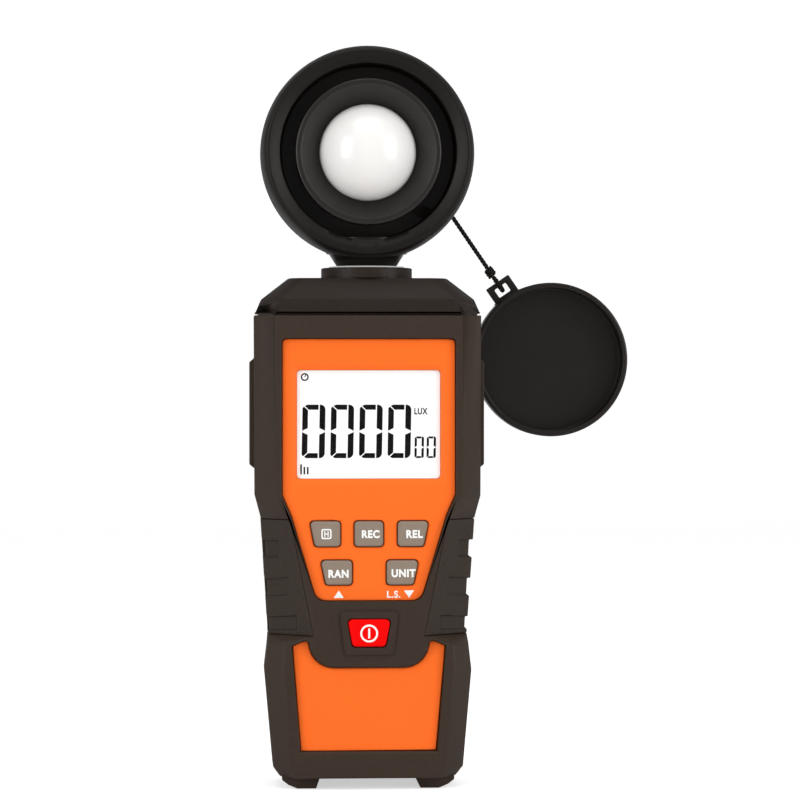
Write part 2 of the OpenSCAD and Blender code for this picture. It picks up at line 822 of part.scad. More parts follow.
module battery_springs() {
  turns = 3;
  steps = 12;
  wire = 0.3;
  color(steel) for (i = [0:cells - 1]) {
    low = i % 2 == 0 ? pocket_z0 + contact_t : pocket_z1 - contact_t;
    way = i % 2 == 0 ? 1 : -1;
    tube([for (k = [0:turns * steps]) let (s = k / (turns * steps)) [
      cell_x(i) + (3.6 - 1.4 * s) * cos(360 * k / steps),
      cell_y + (3.6 - 1.4 * s) * sin(360 * k / steps) * way,
      low + way * (wire + (spring_len - 2 * wire) * s)
    ]], wire, 6);
  }
}

module contact(i, j, z) {
  block([cell_x(i) - 4.4, cell_y - 4.4, z], [cell_x(j) + 4.4, cell_y + 4.4, z + contact_t]);
}

module battery_contacts() {
  color(steel) {
    contact(0, 0, pocket_z0);
    contact(1, 2, pocket_z0);
    contact(0, 1, pocket_z1 - contact_t);
    contact(2, 2, pocket_z1 - contact_t);
  }
}

// Two leads from the compartment to the back of the board
module battery_wires() {
  lead_y = tray_y - 0.7;
  wire_r = 0.6;
  route = [
    [lead_y, pocket_z0 + 6], [lead_y, 40], [lead_y, 64],
    [lead_y - wire_r, 70], [board_back + wire_r + 0.2, 73], [board_back + wire_r, 76]
  ];
  color(red) for (x = [-8, 8]) tube([for (p = route) [x, p[0], p[1]]], wire_r, 8);
}

// Round bar along X on the hinge axis of the battery door
module hinge_pin(r, half_len) {
  translate([-half_len, hinge_y, hinge_z]) rotate([0, 90, 0]) cylinder(r = r, h = 2 * half_len);
}

module battery_door() {
  color(black) difference() {
    union() {
      block([-door_w / 2, back_y - door_t, door_z0], [door_w / 2, back_y, hinge_z]);
      hinge_pin(barrel_r, door_w / 2);
      hinge_pin(pin_r, door_w / 2 + pin_out);
    }
    rod([0, door_screw_z], door_screw_r + 0.1, back_y - door_t - 1, back_y + 1);
    rod([0, door_screw_z], 2.6, back_y - 1.1, back_y + 1);
  }
}

module door_screw() {
  color(steel) screw_y([0, door_screw_z], door_screw_r, 2.4, back_y - 1.1, 4.6, 0.9);
}

module case_screws() {
  color(steel) for (at = case_screw_at)
    screw_y(at, case_screw_r, case_head_r, case_head_y, case_head_y + 6.5);
}

module board_screws() {
  color(steel) for (at = board_screw_at) screw_y(at, board_screw_r, 1.9, board_back, board_t + 3.5, 1.1);
}

module cap_screws() {
  color(steel) for (side = [-1, 1]) {
    at = [side * cap_screw_x, cap_screw_z];
    difference() {
      union() {
        rod(at, 1, back_y - wall - 5.5, back_y - 1.2);
        translate([at[0], back_y - 1.25, at[1]]) rotate([-90, 0, 0]) cylinder(r1 = 1.1, r2 = 2.3, h = 1.2);
      }
      cross_slot(at, 1.3, back_y - 0.7);
    }
  }
}

// ---- Neck ----

module swivel_neck() {
  color(black) difference() {
    union() {
      translate([0, 0, shaft_z]) cylinder(d = shaft_d, h = neck_z - shaft_z + eps);
      translate([0, 0, neck_z]) cylinder(d = neck_d, h = neck_top - neck_z);
    }
    translate([0, 0, shaft_z - 1]) cylinder(r = cable_way, h = 60);
    translate([0, 0, ring_groove_z]) difference() {
      cylinder(d = shaft_d + 2, h = ring_t + 0.1);
      translate([0, 0, -1]) cylinder(d = shaft_d - 2 * ring_groove, h = 4);
    }
    for (side = [-1, 1]) translate([side * 7, neck_screw_y, neck_top - 9]) cylinder(r = 1.05, h = 20);
  }
}

module swivel_washer() {
  color(white) translate([0, 0, collar_z]) difference() {
    cylinder(r = neck_d / 2 - 0.8, h = washer_t);
    translate([0, 0, -1]) cylinder(r = bore_r, h = 3);
  }
}

module spring_washer() {
  color(steel) translate([0, 0, ring_groove_z + ring_t + 0.05]) difference() {
    cylinder(r = bore_r + 2.6, h = hub_z - ring_groove_z - ring_t - 0.05);
    translate([0, 0, -1]) cylinder(r = bore_r + 0.1, h = 3);
  }
}

module retaining_ring() {
  color(steel) translate([0, 0, ring_groove_z + 0.05]) difference() {
    cylinder(r = shaft_d / 2 + 1.8, h = ring_t);
    translate([0, 0, -1]) cylinder(r = shaft_d / 2 - ring_groove + slip, h = 3);
    block([-2.5, 0, -1], [2.5, 20, 3]);
  }
}

module neck_screws() {
  color(steel) for (side = [-1, 1]) translate([side * 7, neck_screw_y, neck_top + 1.2]) difference() {
    union() {
      translate([0, 0, -8]) cylinder(r = 1, h = 8 + eps);
      cylinder(r = 2, h = 1.1);
    }
    block([-1.2, -0.25, 0.5], [1.2, 0.25, 3]);
    block([-0.25, -1.2, 0.5], [0.25, 1.2, 3]);
  }
}

module sensor_cable() {
  color([0.25, 0.25, 0.27]) translate([0, 0, 113]) cylinder(r = cable_r, h = head_z - sensor_r + 2 - 113);
}

// ---- Head ----

// Quarter of an ellipse from [r0, y0] on the rim round to [r1, y1]
function bulge(r0, y0, r1, y1, n = 8) =
  [for (i = [0:n]) [r1 + (r0 - r1) * cos(90 * i / n), y0 + (y1 - y0) * sin(90 * i / n)]];

// Point at radius c and angle a round the head's axis
function around_head(c, a) = [c * cos(a), head_z + c * sin(a)];

module neck_cut() {
  translate([0, 0, neck_z - 5]) cylinder(d = neck_d + 0.1, h = neck_top - neck_z + 5);
}

module head_front() {
  edge_y = head_split - 2;
  outer = [for (i = [0:6])
    [rim_r + (head_r - rim_r) * sin(15 * i), edge_y + (rim_y - edge_y) * cos(15 * i)]];
  inner_r = head_r - head_wall;
  color(black) difference() {
    union() {
      turned(concat(
        [[channel_r, rim_y + 1.5]], [[rim_r - 0.4, rim_y - 0.15]], outer,
        [[head_r, head_split], [inner_r, head_split], [inner_r, stack_y + 1.2], [inner_r - 1.2, stack_y],
          [ring_foot_r + slip, stack_y], [ring_foot_r + slip, floor_y], [channel_r - 0.5, floor_y],
          [channel_r, floor_y - 0.5]]
      ));
      for (a = [45:90:315])
        rod(around_head(head_screw_c, a), 2.3, stack_y - eps, head_split);
    }
    for (a = [45:90:315])
      rod(around_head(head_screw_c, a), head_screw_r + slip, floor_y + 0.6, head_split + 1);
    turned([[0, stack_y], [ring_flange_r + fit, stack_y], [ring_flange_r + fit, 0], [0, 0]]);
    neck_cut();
  }
}

module head_back() {
  inner_r = head_r - head_wall;
  inner_y = head_back_y - head_wall;
  color(black) difference() {
    union() {
      turned(concat(
        [[0, inner_y], [0, head_back_y]], reverse(bulge(head_r, head_split + 1.5, flat_r, head_back_y, 10)),
        [[head_r, head_split], [inner_r, head_split]],
        bulge(inner_r, head_split + 1.5, flat_r - 0.5, inner_y, 10)
      ));
      turned(box_outline(rib_in, rib_in + 1.6, holder_back, inner_y + 0.5));
      intersection() {
        turned(concat(
          [[0, head_split]], bulge(head_r - 0.5, head_split, flat_r, head_back_y - 0.5, 10),
          [[0, head_back_y - 0.5]]
        ));
        for (a = [45:90:315])
          rod(around_head(head_screw_c, a), 3.2, holder_back + 0.1, head_back_y);
      }
      block([-15, holder_back + 0.1, neck_top + slip], [15, 5, neck_top + 1.2]);
    }
    for (a = [45:90:315]) {
      rod(around_head(head_screw_c, a), head_screw_r + 0.15, head_split - 1, 9);
      rod(around_head(head_screw_c, a), 2.4, 2.6, head_back_y + 1);
    }
    for (side = [-1, 1]) translate([side * 7, neck_screw_y, neck_top - 5]) cylinder(r = 1.15, h = 12);
    translate([0, 0, neck_top - 5]) cylinder(r = cable_way, h = 9);
    rod([post_x, post_z], 1.45, inner_y - 1, head_back_y + 1);
    neck_cut();
  }
}

module head_screws() {
  color(steel) for (a = [45:90:315])
    screw_y(around_head(head_screw_c, a), head_screw_r, 2.1, 2.6, 7.2, 1.2);
}

module dome_ring() {
  color(black) turned([
    [ring_r, ring_front + 0.6], [ring_r - 0.6, ring_front], [ring_r - ring_lip + 0.4, ring_front],
    [ring_r - ring_lip, ring_front + 0.4], [dome_r + 0.1, funnel_y], [dome_r + 0.1, dome_seat],
    [dome_r + dome_flange + 0.1, dome_seat], [dome_r + dome_flange + 0.1, holder_y],
    [ring_flange_r, holder_y], [ring_flange_r, stack_y], [ring_foot_r, stack_y],
    [ring_foot_r, ring_foot_y], [ring_r, ring_foot_y]
  ]);
}

module diffuser_dome() {
  color(white) difference() {
    union() {
      intersection() {
        translate([0, dome_c, head_z]) rotate([90, 0, 0]) sphere(r = dome_ball);
        rod([0, head_z], dome_r, funnel_y - dome_h - 1, funnel_y);
      }
      rod([0, head_z], dome_r, funnel_y - eps, dome_seat + eps);
      rod([0, head_z], dome_r + dome_flange, dome_seat, dome_seat + dome_flange_t);
    }
    intersection() {
      translate([0, dome_c, head_z]) rotate([90, 0, 0]) sphere(r = dome_ball - dome_wall);
      rod([0, head_z], dome_r - dome_wall, funnel_y - dome_h - 1, dome_seat + 5);
    }
    rod([0, head_z], dome_r - dome_wall, funnel_y, dome_seat + 5);
  }
}

module dome_gasket() {
  color([0.2, 0.2, 0.2]) difference() {
    rod([0, head_z], dome_r + dome_flange, dome_seat + dome_flange_t, dome_seat + dome_flange_t + gasket_t);
    rod([0, head_z], dome_r - dome_wall, dome_seat, dome_seat + 5);
  }
}

module sensor_holder() {
  gasket_back = dome_seat + dome_flange_t + gasket_t;
  color([0.25, 0.25, 0.27]) difference() {
    union() {
      turned([
        [filter_r + fit, gasket_back], [dome_r + dome_flange - 0.1, gasket_back],
        [dome_r + dome_flange - 0.1, holder_y], [ring_flange_r, holder_y], [ring_flange_r, holder_back],
        [filter_r - 1, holder_back], [filter_r - 1, gasket_back + filter_t + 0.1],
        [filter_r + fit, gasket_back + filter_t + 0.1]
      ]);
      for (a = [90:120:330])
        rod(around_head(sensor_screw_c, a), 2.1, holder_back - eps, sensor_y);
    }
    for (a = [90:120:330])
      rod(around_head(sensor_screw_c, a), 1 + slip, holder_back - 1, sensor_y + 1);
  }
}

module photo_filter() {
  gasket_back = dome_seat + dome_flange_t + gasket_t;
  color([0.3, 0.55, 0.35]) rod([0, head_z], filter_r, gasket_back, gasket_back + filter_t);
}

module photodiode() {
  color(steel) {
    rod([0, head_z], 4.1, holder_back + 0.1, sensor_y - 0.6 + eps);
    rod([0, head_z], 4.6, sensor_y - 0.6, sensor_y);
  }
}

module sensor_board() {
  color(board_green) difference() {
    rod([0, head_z], sensor_r, sensor_y, sensor_y + board_t);
    for (a = [90:120:330])
      rod(around_head(sensor_screw_c, a), 1.2, sensor_y - 1, sensor_y + 3);
  }
}

module sensor_screws() {
  color(steel) for (a = [90:120:330])
    screw_y(around_head(sensor_screw_c, a), 1, 1.9, sensor_y + board_t, board_t + 3, 1.1);
}

// ---- Lens cap and its cord ----

// Places its children with +X along the cord, from the post towards the cap
module along_cord() {
  translate([post_x, cord_y, post_z]) rotate([0, 90 - swing, 0]) children();
}

module cord_post() {
  inner_y = head_back_y - head_wall;
  color(black) {
    rod([post_x, post_z], 1.4, inner_y - eps, head_back_y + eps);
    rod([post_x, post_z], 2.3, inner_y - 0.8, inner_y);
    rod([post_x, post_z], post_r, head_back_y, head_back_y + post_len + eps);
    rod([post_x, post_z], 2.9, head_back_y + post_len, head_back_y + post_len + 1.2);
  }
}

// Loop of cord in the plane of its children's X and Y
module cord_ring(r) {
  rotate_extrude() translate([r, 0]) circle(r = cord_r, $fn = 12);
}

module cord_loop() {
  color(black) along_cord() rotate([90, 0, 0]) cord_ring(loop_r);
}

module cap_cord() {
  color(black) along_cord()
    tube([for (s = cord_stations) [cord_start + (cord_stop - cord_start) * s, 0, 0]], cord_r, 8);
}

// Barrel knot, and the loop that it closes round the lug's bar
module cord_knot() {
  color(black) along_cord() {
    translate([knot_at, 0, 0]) rotate([0, 90, 0]) rotate_extrude() polygon([
      [0, -knot_r], [knot_r * 0.6, -knot_r], [knot_r, -knot_r * 0.5],
      [knot_r, knot_r * 0.5], [knot_r * 0.6, knot_r], [0, knot_r]
    ]);
    translate([bar_at, 0, 0]) cord_ring(eye_loop_r);
  }
}

module lens_cap() {
  edge = 1.2;
  lug_top = cap_r + lug_out;
  eye_x = reach - lug_top + lug_bar;
  color(black) {
    difference() {
      union() {
        translate([cap_x, cap_y, cap_z]) rotate([-90, 0, 0]) rotate_extrude() polygon(concat(
          [[cap_r - 0.3, 0], [cap_r, 0.3]],
          [for (i = [0:5]) [cap_r - edge + edge * cos(18 * i), cap_depth - edge + edge * sin(18 * i)]],
          [[0, cap_depth], [0, cap_depth - cap_end]],
          [[cap_r - cap_wall, cap_depth - cap_end], [cap_r - cap_wall, 0]]
        ));
        along_cord()
          block([reach - lug_top, -lug_t / 2, -lug_w / 2],
            [reach - cap_r + cap_wall / 2, lug_t / 2, lug_w / 2]);
      }
      along_cord()
        block([eye_x, -lug_t, -eye_w / 2], [eye_x + eye_h, lug_t, eye_w / 2]);
    }
  }
}

front_case();
rear_case();
top_cap();
grip_left();
grip_right();
upper_panel();
lower_panel();
lcd_window();
lcd_glass();
lcd_reflector();
lcd_holder();
contact_strip();
main_board();
board_chips();
key_switches();
key_hold();
key_record();
key_relative();
key_range();
key_unit();
key_power();
battery_door();
door_screw();
batteries();
battery_springs();
battery_contacts();
battery_wires();
case_screws();
board_screws();
cap_screws();
swivel_neck();
swivel_washer();
spring_washer();
retaining_ring();
neck_screws();
sensor_cable();
cable_plug();
head_front();
head_back();
head_screws();
dome_ring();
diffuser_dome();
dome_gasket();
sensor_holder();
photo_filter();
photodiode();
sensor_board();
sensor_screws();
cord_post();
cord_loop();
cap_cord();
cord_knot();
lens_cap();
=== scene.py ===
# Hand-held light meter with a swivelling sensor head and a lens cap on a cord.
import math
import bmesh
import bpy
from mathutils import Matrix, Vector


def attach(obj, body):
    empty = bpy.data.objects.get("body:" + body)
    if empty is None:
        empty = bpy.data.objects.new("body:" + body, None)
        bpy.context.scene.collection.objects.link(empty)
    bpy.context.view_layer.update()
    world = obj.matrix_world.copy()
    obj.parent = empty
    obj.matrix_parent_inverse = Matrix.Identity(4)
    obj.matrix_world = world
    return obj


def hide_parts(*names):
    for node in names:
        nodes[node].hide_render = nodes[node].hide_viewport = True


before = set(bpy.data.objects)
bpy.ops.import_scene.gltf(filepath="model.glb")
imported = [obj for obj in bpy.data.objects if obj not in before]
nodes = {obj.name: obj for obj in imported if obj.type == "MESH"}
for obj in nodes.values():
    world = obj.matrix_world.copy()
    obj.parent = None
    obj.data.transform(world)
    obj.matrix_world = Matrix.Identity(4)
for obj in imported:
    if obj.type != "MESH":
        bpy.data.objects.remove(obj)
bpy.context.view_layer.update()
mm = 0.001
print("frame loaded:", len(nodes), "nodes")

# ---- camera ----

camera = {"azimuth": -3.1, "elevation": 0.4, "distance": 0.9, "lens": 150, "aim": (9.05, 0, 103.5)}


def makeCamera(c):
    a, e = math.radians(c["azimuth"]), math.radians(c["elevation"])
    back = Vector((math.sin(a) * math.cos(e), -math.cos(a) * math.cos(e), math.sin(e)))
    data = bpy.data.cameras.new("camera")
    data.lens = c["lens"]
    data.sensor_width = 36
    obj = bpy.data.objects.new("camera", data)
    bpy.context.scene.collection.objects.link(obj)
    obj.location = Vector(c["aim"]) * mm + back * c["distance"]
    obj.rotation_euler = (-back).to_track_quat("-Z", "Y").to_euler()
    bpy.context.scene.camera = obj


makeCamera(camera)
print("camera ready")

# ---- materials ----


def link(tree, source, target):
    tree.links.new(source, target)


def surface(name, look):
    mat = bpy.data.materials.new(name)
    mat.use_nodes = True
    tree = mat.node_tree
    bsdf = tree.nodes["Principled BSDF"]
    add = tree.nodes.new
    coord = add("ShaderNodeTexCoord")
    place = add("ShaderNodeMapping")
    place.inputs["Location"].default_value = [-v * mm for v in look.get("centre", (0, 0, 0))]
    link(tree, coord.outputs["Object"], place.inputs["Vector"])
    blotch = add("ShaderNodeTexNoise")
    blotch.inputs["Scale"].default_value = 1000 / look.get("blotch", 14)
    blotch.inputs["Detail"].default_value = 4
    link(tree, place.outputs["Vector"], blotch.inputs["Vector"])
    grain = add("ShaderNodeTexNoise")
    grain.inputs["Scale"].default_value = 1000 / look.get("grain", 0.5)
    grain.inputs["Detail"].default_value = 2
    link(tree, place.outputs["Vector"], grain.inputs["Vector"])
    # colour drifts a little between two shades, with finer speckle on top
    drift = add("ShaderNodeMix")
    drift.data_type = "RGBA"
    span, speck = look.get("drift", 0.06), look.get("speck", 0.08)
    drift.inputs["A"].default_value = [v * (1 - span) for v in look["colour"]] + [1]
    drift.inputs["B"].default_value = [min(1, v * (1 + span)) for v in look["colour"]] + [1]
    link(tree, blotch.outputs["Fac"], drift.inputs["Factor"])
    dots = add("ShaderNodeMix")
    dots.data_type = "RGBA"
    dots.blend_type = "MULTIPLY"
    dots.inputs["Factor"].default_value = 1
    shade = add("ShaderNodeMapRange")
    shade.inputs["From Min"].default_value = 0.3
    shade.inputs["From Max"].default_value = 0.7
    shade.inputs["To Min"].default_value = 1 - speck
    shade.inputs["To Max"].default_value = 1
    link(tree, grain.outputs["Fac"], shade.inputs["Value"])
    link(tree, drift.outputs["Result"], dots.inputs["A"])
    link(tree, shade.outputs["Result"], dots.inputs["B"])
    link(tree, dots.outputs["Result"], bsdf.inputs["Base Color"])
    rough = add("ShaderNodeMapRange")
    rough.inputs["To Min"].default_value = look["rough"] - look.get("roughSpan", 0.05)
    rough.inputs["To Max"].default_value = look["rough"] + look.get("roughSpan", 0.05)
    link(tree, blotch.outputs["Fac"], rough.inputs["Value"])
    link(tree, rough.outputs["Result"], bsdf.inputs["Roughness"])
    bump = add("ShaderNodeBump")
    bump.inputs["Strength"].default_value = look.get("bump", 0.3)
    bump.inputs["Distance"].default_value = look.get("depth", 0.03) * mm
    height = grain.outputs["Fac"]
    if "rings" in look:  # turning marks round the head's axis
        spun = add("ShaderNodeTexWave")
        spun.wave_type = "RINGS"
        spun.rings_direction = "Y"
        spun.inputs["Scale"].default_value = 1000 / look["rings"] / 20
        spun.inputs["Distortion"].default_value = 0.4
        link(tree, place.outputs["Vector"], spun.inputs["Vector"])
        both = add("ShaderNodeMath")
        both.operation = "ADD"
        link(tree, spun.outputs["Fac"], both.inputs[0])
        link(tree, grain.outputs["Fac"], both.inputs[1])
        height = both.outputs["Value"]
    link(tree, height, bump.inputs["Height"])
    link(tree, bump.outputs["Normal"], bsdf.inputs["Normal"])
    bsdf.inputs["Metallic"].default_value = look.get("metal", 0)
    bsdf.inputs["Specular IOR Level"].default_value = look.get("specular", 0.5)
    bsdf.inputs["Coat Weight"].default_value = look.get("coat", 0)
    bsdf.inputs["Coat Roughness"].default_value = 0.15
    bsdf.inputs["Alpha"].default_value = look.get("alpha", 1)
    # emission paints light into a surface that is no lamp, such as the display sheet
    if look.get("paintedGlow", 0):
        bsdf.inputs["Emission Color"].default_value = [*look["colour"], 1]
        bsdf.inputs["Emission Strength"].default_value = look["paintedGlow"]
    return mat


headAxis = (0, 0, 169.7)
looks = {
    "caseBlack": {"colour": (0.038, 0.024, 0.016), "rough": 0.55, "grain": 0.45, "bump": 0.35, "speck": 0.2,
                  "specular": 0.22},
    "topBlack": {"colour": (0.019, 0.012, 0.0085), "rough": 0.5, "grain": 0.45, "bump": 0.35, "speck": 0.2,
                 "specular": 0.2},
    "gripRubber": {"colour": (0.04, 0.029, 0.022), "rough": 0.72, "grain": 0.6, "bump": 0.5, "speck": 0.25,
                   "specular": 0.18},
    "headBlack": {"colour": (0.0055, 0.0035, 0.0025), "rough": 0.46, "grain": 0.4, "bump": 0.25, "speck": 0.2,
                  "specular": 0.2, "centre": headAxis},
    "funnelBlack": {"colour": (0.008, 0.0055, 0.0045), "rough": 0.36, "grain": 0.5, "bump": 0.3, "rings": 0.5,
                    "specular": 0.42, "centre": headAxis, "blotch": 5, "roughSpan": 0.08},
    "neckBlack": {"colour": (0.006, 0.004, 0.003), "rough": 0.3, "grain": 0.5, "bump": 0.15, "specular": 0.3},
    "capBlack": {"colour": (0.009, 0.006, 0.0045), "rough": 0.36, "grain": 0.7, "bump": 0.25, "rings": 1.1,
                 "specular": 0.3, "centre": (51.2, 0, 114.5), "blotch": 9, "roughSpan": 0.1, "depth": 0.02},
    "panelOrange": {"colour": (0.98, 0.158, 0.018), "rough": 0.42, "grain": 0.4, "bump": 0.2, "drift": 0.02,
                    "speck": 0.03, "specular": 0.12},
    "keyGrey": {"colour": (0.265, 0.21, 0.163), "rough": 0.6, "grain": 0.35, "bump": 0.4, "speck": 0.12,
                "specular": 0.25},
    "keyRed": {"colour": (0.88, 0.001, 0.001), "rough": 0.4, "grain": 0.4, "bump": 0.15, "drift": 0.03,
               "specular": 0.06},
    "inkWhite": {"colour": (0.9, 0.9, 0.88), "rough": 0.5, "bump": 0.1, "drift": 0.02, "speck": 0.03},
    # display sheet: its emission is painted light that lifts the unlit sheet to pure white
    "displayWhitePaintedGlow": {"colour": (0.93, 0.93, 0.92), "rough": 0.5, "bump": 0.05, "drift": 0.01, "speck": 0.01,
                     "paintedGlow": 0.18},
    "displayInk": {"colour": (0.008, 0.008, 0.008), "rough": 0.6, "bump": 0.05, "specular": 0.05},
    "clearLens": {"colour": (0.001, 0.001, 0.001), "rough": 0.1, "roughSpan": 0.02, "alpha": 0.03, "bump": 0.02,
                  "specular": 0.3},
    "domeWhite": {"colour": (0.84, 0.822, 0.803), "rough": 0.22, "roughSpan": 0.03, "bump": 0.03, "drift": 0.015,
                  "speck": 0.01, "coat": 0.25, "centre": headAxis},
    "cordBlack": {"colour": (0.014, 0.011, 0.01), "rough": 0.75, "grain": 0.2, "bump": 0.6, "speck": 0.4,
                  "specular": 0.2},
    "screwSteel": {"colour": (0.55, 0.55, 0.56), "rough": 0.35, "metal": 1, "grain": 0.3, "bump": 0.2},
    "boardGreen": {"colour": (0.02, 0.13, 0.045), "rough": 0.4, "grain": 0.8, "bump": 0.2, "speck": 0.2},
    "chipBlack": {"colour": (0.02, 0.02, 0.022), "rough": 0.45, "grain": 0.3},
    "innerWhite": {"colour": (0.8, 0.8, 0.78), "rough": 0.5, "grain": 0.5},
    "innerDark": {"colour": (0.05, 0.05, 0.055), "rough": 0.6, "grain": 0.5},
    "cellSleeve": {"colour": (0.12, 0.14, 0.17), "rough": 0.3, "grain": 0.4, "coat": 0.4},
    "filterGreen": {"colour": (0.1, 0.32, 0.14), "rough": 0.1, "roughSpan": 0.02, "bump": 0.03},
    "wireRed": {"colour": (0.6, 0.02, 0.02), "rough": 0.5, "grain": 0.4},
}
mats = {name: surface(name, look) for name, look in looks.items()}
print("materials:", len(mats))

# ---- helpers ----


def keep(name, mesh, body, mat, stands=()):
    obj = bpy.data.objects.new(name, mesh)
    bpy.context.scene.collection.objects.link(obj)
    mesh.materials.clear()
    mesh.materials.append(mats[mat])
    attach(obj, body)
    if stands:
        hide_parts(*stands)
    return obj


def meshFrom(bm, name, sharp=32):
    mesh = bpy.data.meshes.new(name)
    bm.to_mesh(mesh)
    bm.free()
    mesh.shade_smooth()
    mesh.set_sharp_from_angle(angle=math.radians(sharp))
    return mesh


def edgesOf(bm, rule, widest):
    layer = bm.edges.layers.float.new("bevel_weight_edge")
    for e in bm.edges:
        if len(e.link_faces) != 2 or e.calc_face_angle(0) < math.radians(24):
            continue
        mid = (e.verts[0].co + e.verts[1].co) / 2 / mm
        width = rule(mid, [f.normal for f in e.link_faces], e.is_convex)
        e[layer] = max(0, min(1, width / widest))


def softened(name, node, body, mat, widest, rule, steps=3, flatten=0.3):
    bm = bmesh.new()
    bm.from_mesh(nodes[node].data)
    bmesh.ops.remove_doubles(bm, verts=bm.verts, dist=2e-6)
    if flatten:
        bmesh.ops.dissolve_limit(bm, angle_limit=math.radians(flatten), verts=bm.verts, edges=bm.edges)
    edgesOf(bm, rule, widest)
    obj = keep(name, meshFrom(bm, name), body, mat, (node,))
    bevel = obj.modifiers.new("softEdges", "BEVEL")
    bevel.width = widest * mm
    bevel.segments = steps
    bevel.limit_method = "WEIGHT"
    bevel.use_clamp_overlap = False
    bevel.harden_normals = True
    return obj


def prism(bm, outline, y0, y1):
    front = [bm.verts.new((x * mm, y0 * mm, z * mm)) for x, z in outline]
    back = [bm.verts.new((x * mm, y1 * mm, z * mm)) for x, z in outline]
    n = len(outline)
    bm.faces.new(front)
    bm.faces.new(back[::-1])
    for i in range(n):
        j = (i + 1) % n
        bm.faces.new((front[j], front[i], back[i], back[j]))


def arc(x, z, r, a0, a1, n):
    return [(x + r * math.cos(math.radians(a0 + (a1 - a0) * i / n)),
             z + r * math.sin(math.radians(a0 + (a1 - a0) * i / n))) for i in range(n + 1)]


def roundCorners(points, radii, n=5):
    out = []
    for i, b in enumerate(points):
        r = radii[i]
        b = Vector(b)
        u, v = Vector(points[i - 1]) - b, Vector(points[(i + 1) % len(points)]) - b
        if not r:
            out.append(tuple(b))
            continue
        half = u.angle(v) / 2
        r = min(r, math.tan(half) * min(u.length, v.length) * 0.49)
        u.normalize()
        v.normalize()
        centre = b + (u + v).normalized() * r / math.sin(half)
        p, q = b + u * r / math.tan(half) - centre, b + v * r / math.tan(half) - centre
        a0 = math.atan2(p.y, p.x)
        turn = (math.atan2(q.y, q.x) - a0 + 3 * math.pi) % (2 * math.pi) - math.pi
        out += [(centre.x + r * math.cos(a0 + turn * k / n), centre.y + r * math.sin(a0 + turn * k / n))
                for k in range(n + 1)]
    return out


def lathe(bm, outline, centre, axis="Y", steps=128):
    n = len(outline)
    rings = []
    for k in range(steps):
        a = 2 * math.pi * k / steps
        ring = []
        for r, h in outline:
            if axis == "Y":
                p = (centre[0] + r * math.cos(a), h, centre[2] + r * math.sin(a))
            else:
                p = (centre[0] + r * math.cos(a), centre[1] + r * math.sin(a), h)
            ring.append(bm.verts.new(Vector(p) * mm))
        rings.append(ring)
    for k in range(steps):
        a, b = rings[k], rings[(k + 1) % steps]
        for i in range(n):
            j = (i + 1) % n
            if outline[i][0] < 1e-6 and outline[j][0] < 1e-6:
                continue
            bm.faces.new((a[i], a[j], b[j], b[i]))
    bmesh.ops.remove_doubles(bm, verts=bm.verts, dist=1e-7)
    bmesh.ops.dissolve_degenerate(bm, dist=1e-8, edges=bm.edges)
    bmesh.ops.recalc_face_normals(bm, faces=bm.faces)


def nodeTree(name, inputs):
    tree = bpy.data.node_groups.new(name, "GeometryNodeTree")
    face = tree.interface
    face.new_socket("Geometry", in_out="INPUT", socket_type="NodeSocketGeometry")
    for label, kind, value in inputs:
        sock = face.new_socket(label, in_out="INPUT", socket_type="NodeSocket" + kind)
        if value is not None:
            sock.default_value = value
    face.new_socket("Geometry", in_out="OUTPUT", socket_type="NodeSocketGeometry")
    return tree, tree.nodes.new("NodeGroupInput"), tree.nodes.new("NodeGroupOutput")


def finishTree(tree, shape, start, end):
    real = tree.nodes.new("GeometryNodeRealizeInstances")
    paint = tree.nodes.new("GeometryNodeSetMaterial")
    link(tree, shape, real.inputs["Geometry"])
    link(tree, real.outputs["Geometry"], paint.inputs["Geometry"])
    link(tree, start.outputs["Material"], paint.inputs["Material"])
    link(tree, paint.outputs["Geometry"], end.inputs[0])


def grown(name, base, tree, values, body, mat, stands=(), sharp=32):
    obj = bpy.data.objects.new(name + "Base", base)
    bpy.context.scene.collection.objects.link(obj)
    mod = obj.modifiers.new("grow", "NODES")
    mod.node_group = tree
    ids = {s.name: s.identifier for s in tree.interface.items_tree if s.in_out == "INPUT"}
    for label, value in {**values, "Material": mats[mat]}.items():
        mod[ids[label]] = value
    evaluated = obj.evaluated_get(bpy.context.evaluated_depsgraph_get())
    mesh = bpy.data.meshes.new_from_object(evaluated)
    obj.modifiers.clear()
    bpy.data.objects.remove(obj)
    mesh.shade_smooth()
    mesh.set_sharp_from_angle(angle=math.radians(sharp))
    return keep(name, mesh, body, mat, stands)


def path(name, points, closed=False):
    mesh = bpy.data.meshes.new(name)
    n = len(points)
    edges = [(i, i + 1) for i in range(n - 1)] + ([(n - 1, 0)] if closed else [])
    mesh.from_pydata([Vector(p) * mm for p in points], edges, [])
    return mesh


# ---- cord ----

cord = {"diameter": 1.3, "post": (14.5, 15.6, 168), "swing": 34.449, "start": 3.2, "stop": 34.33,
        "loop": 2.6, "knot": 35.83, "eye": 39.78, "eyeLoop": 2.1, "strands": 3, "lay": 3.2}


def cordPoint(s, side=0, out=0):
    a = math.radians(cord["swing"])
    x, y, z = cord["post"]
    return (x + s * math.sin(a) + out * math.cos(a), y + side, z - s * math.cos(a) + out * math.sin(a))


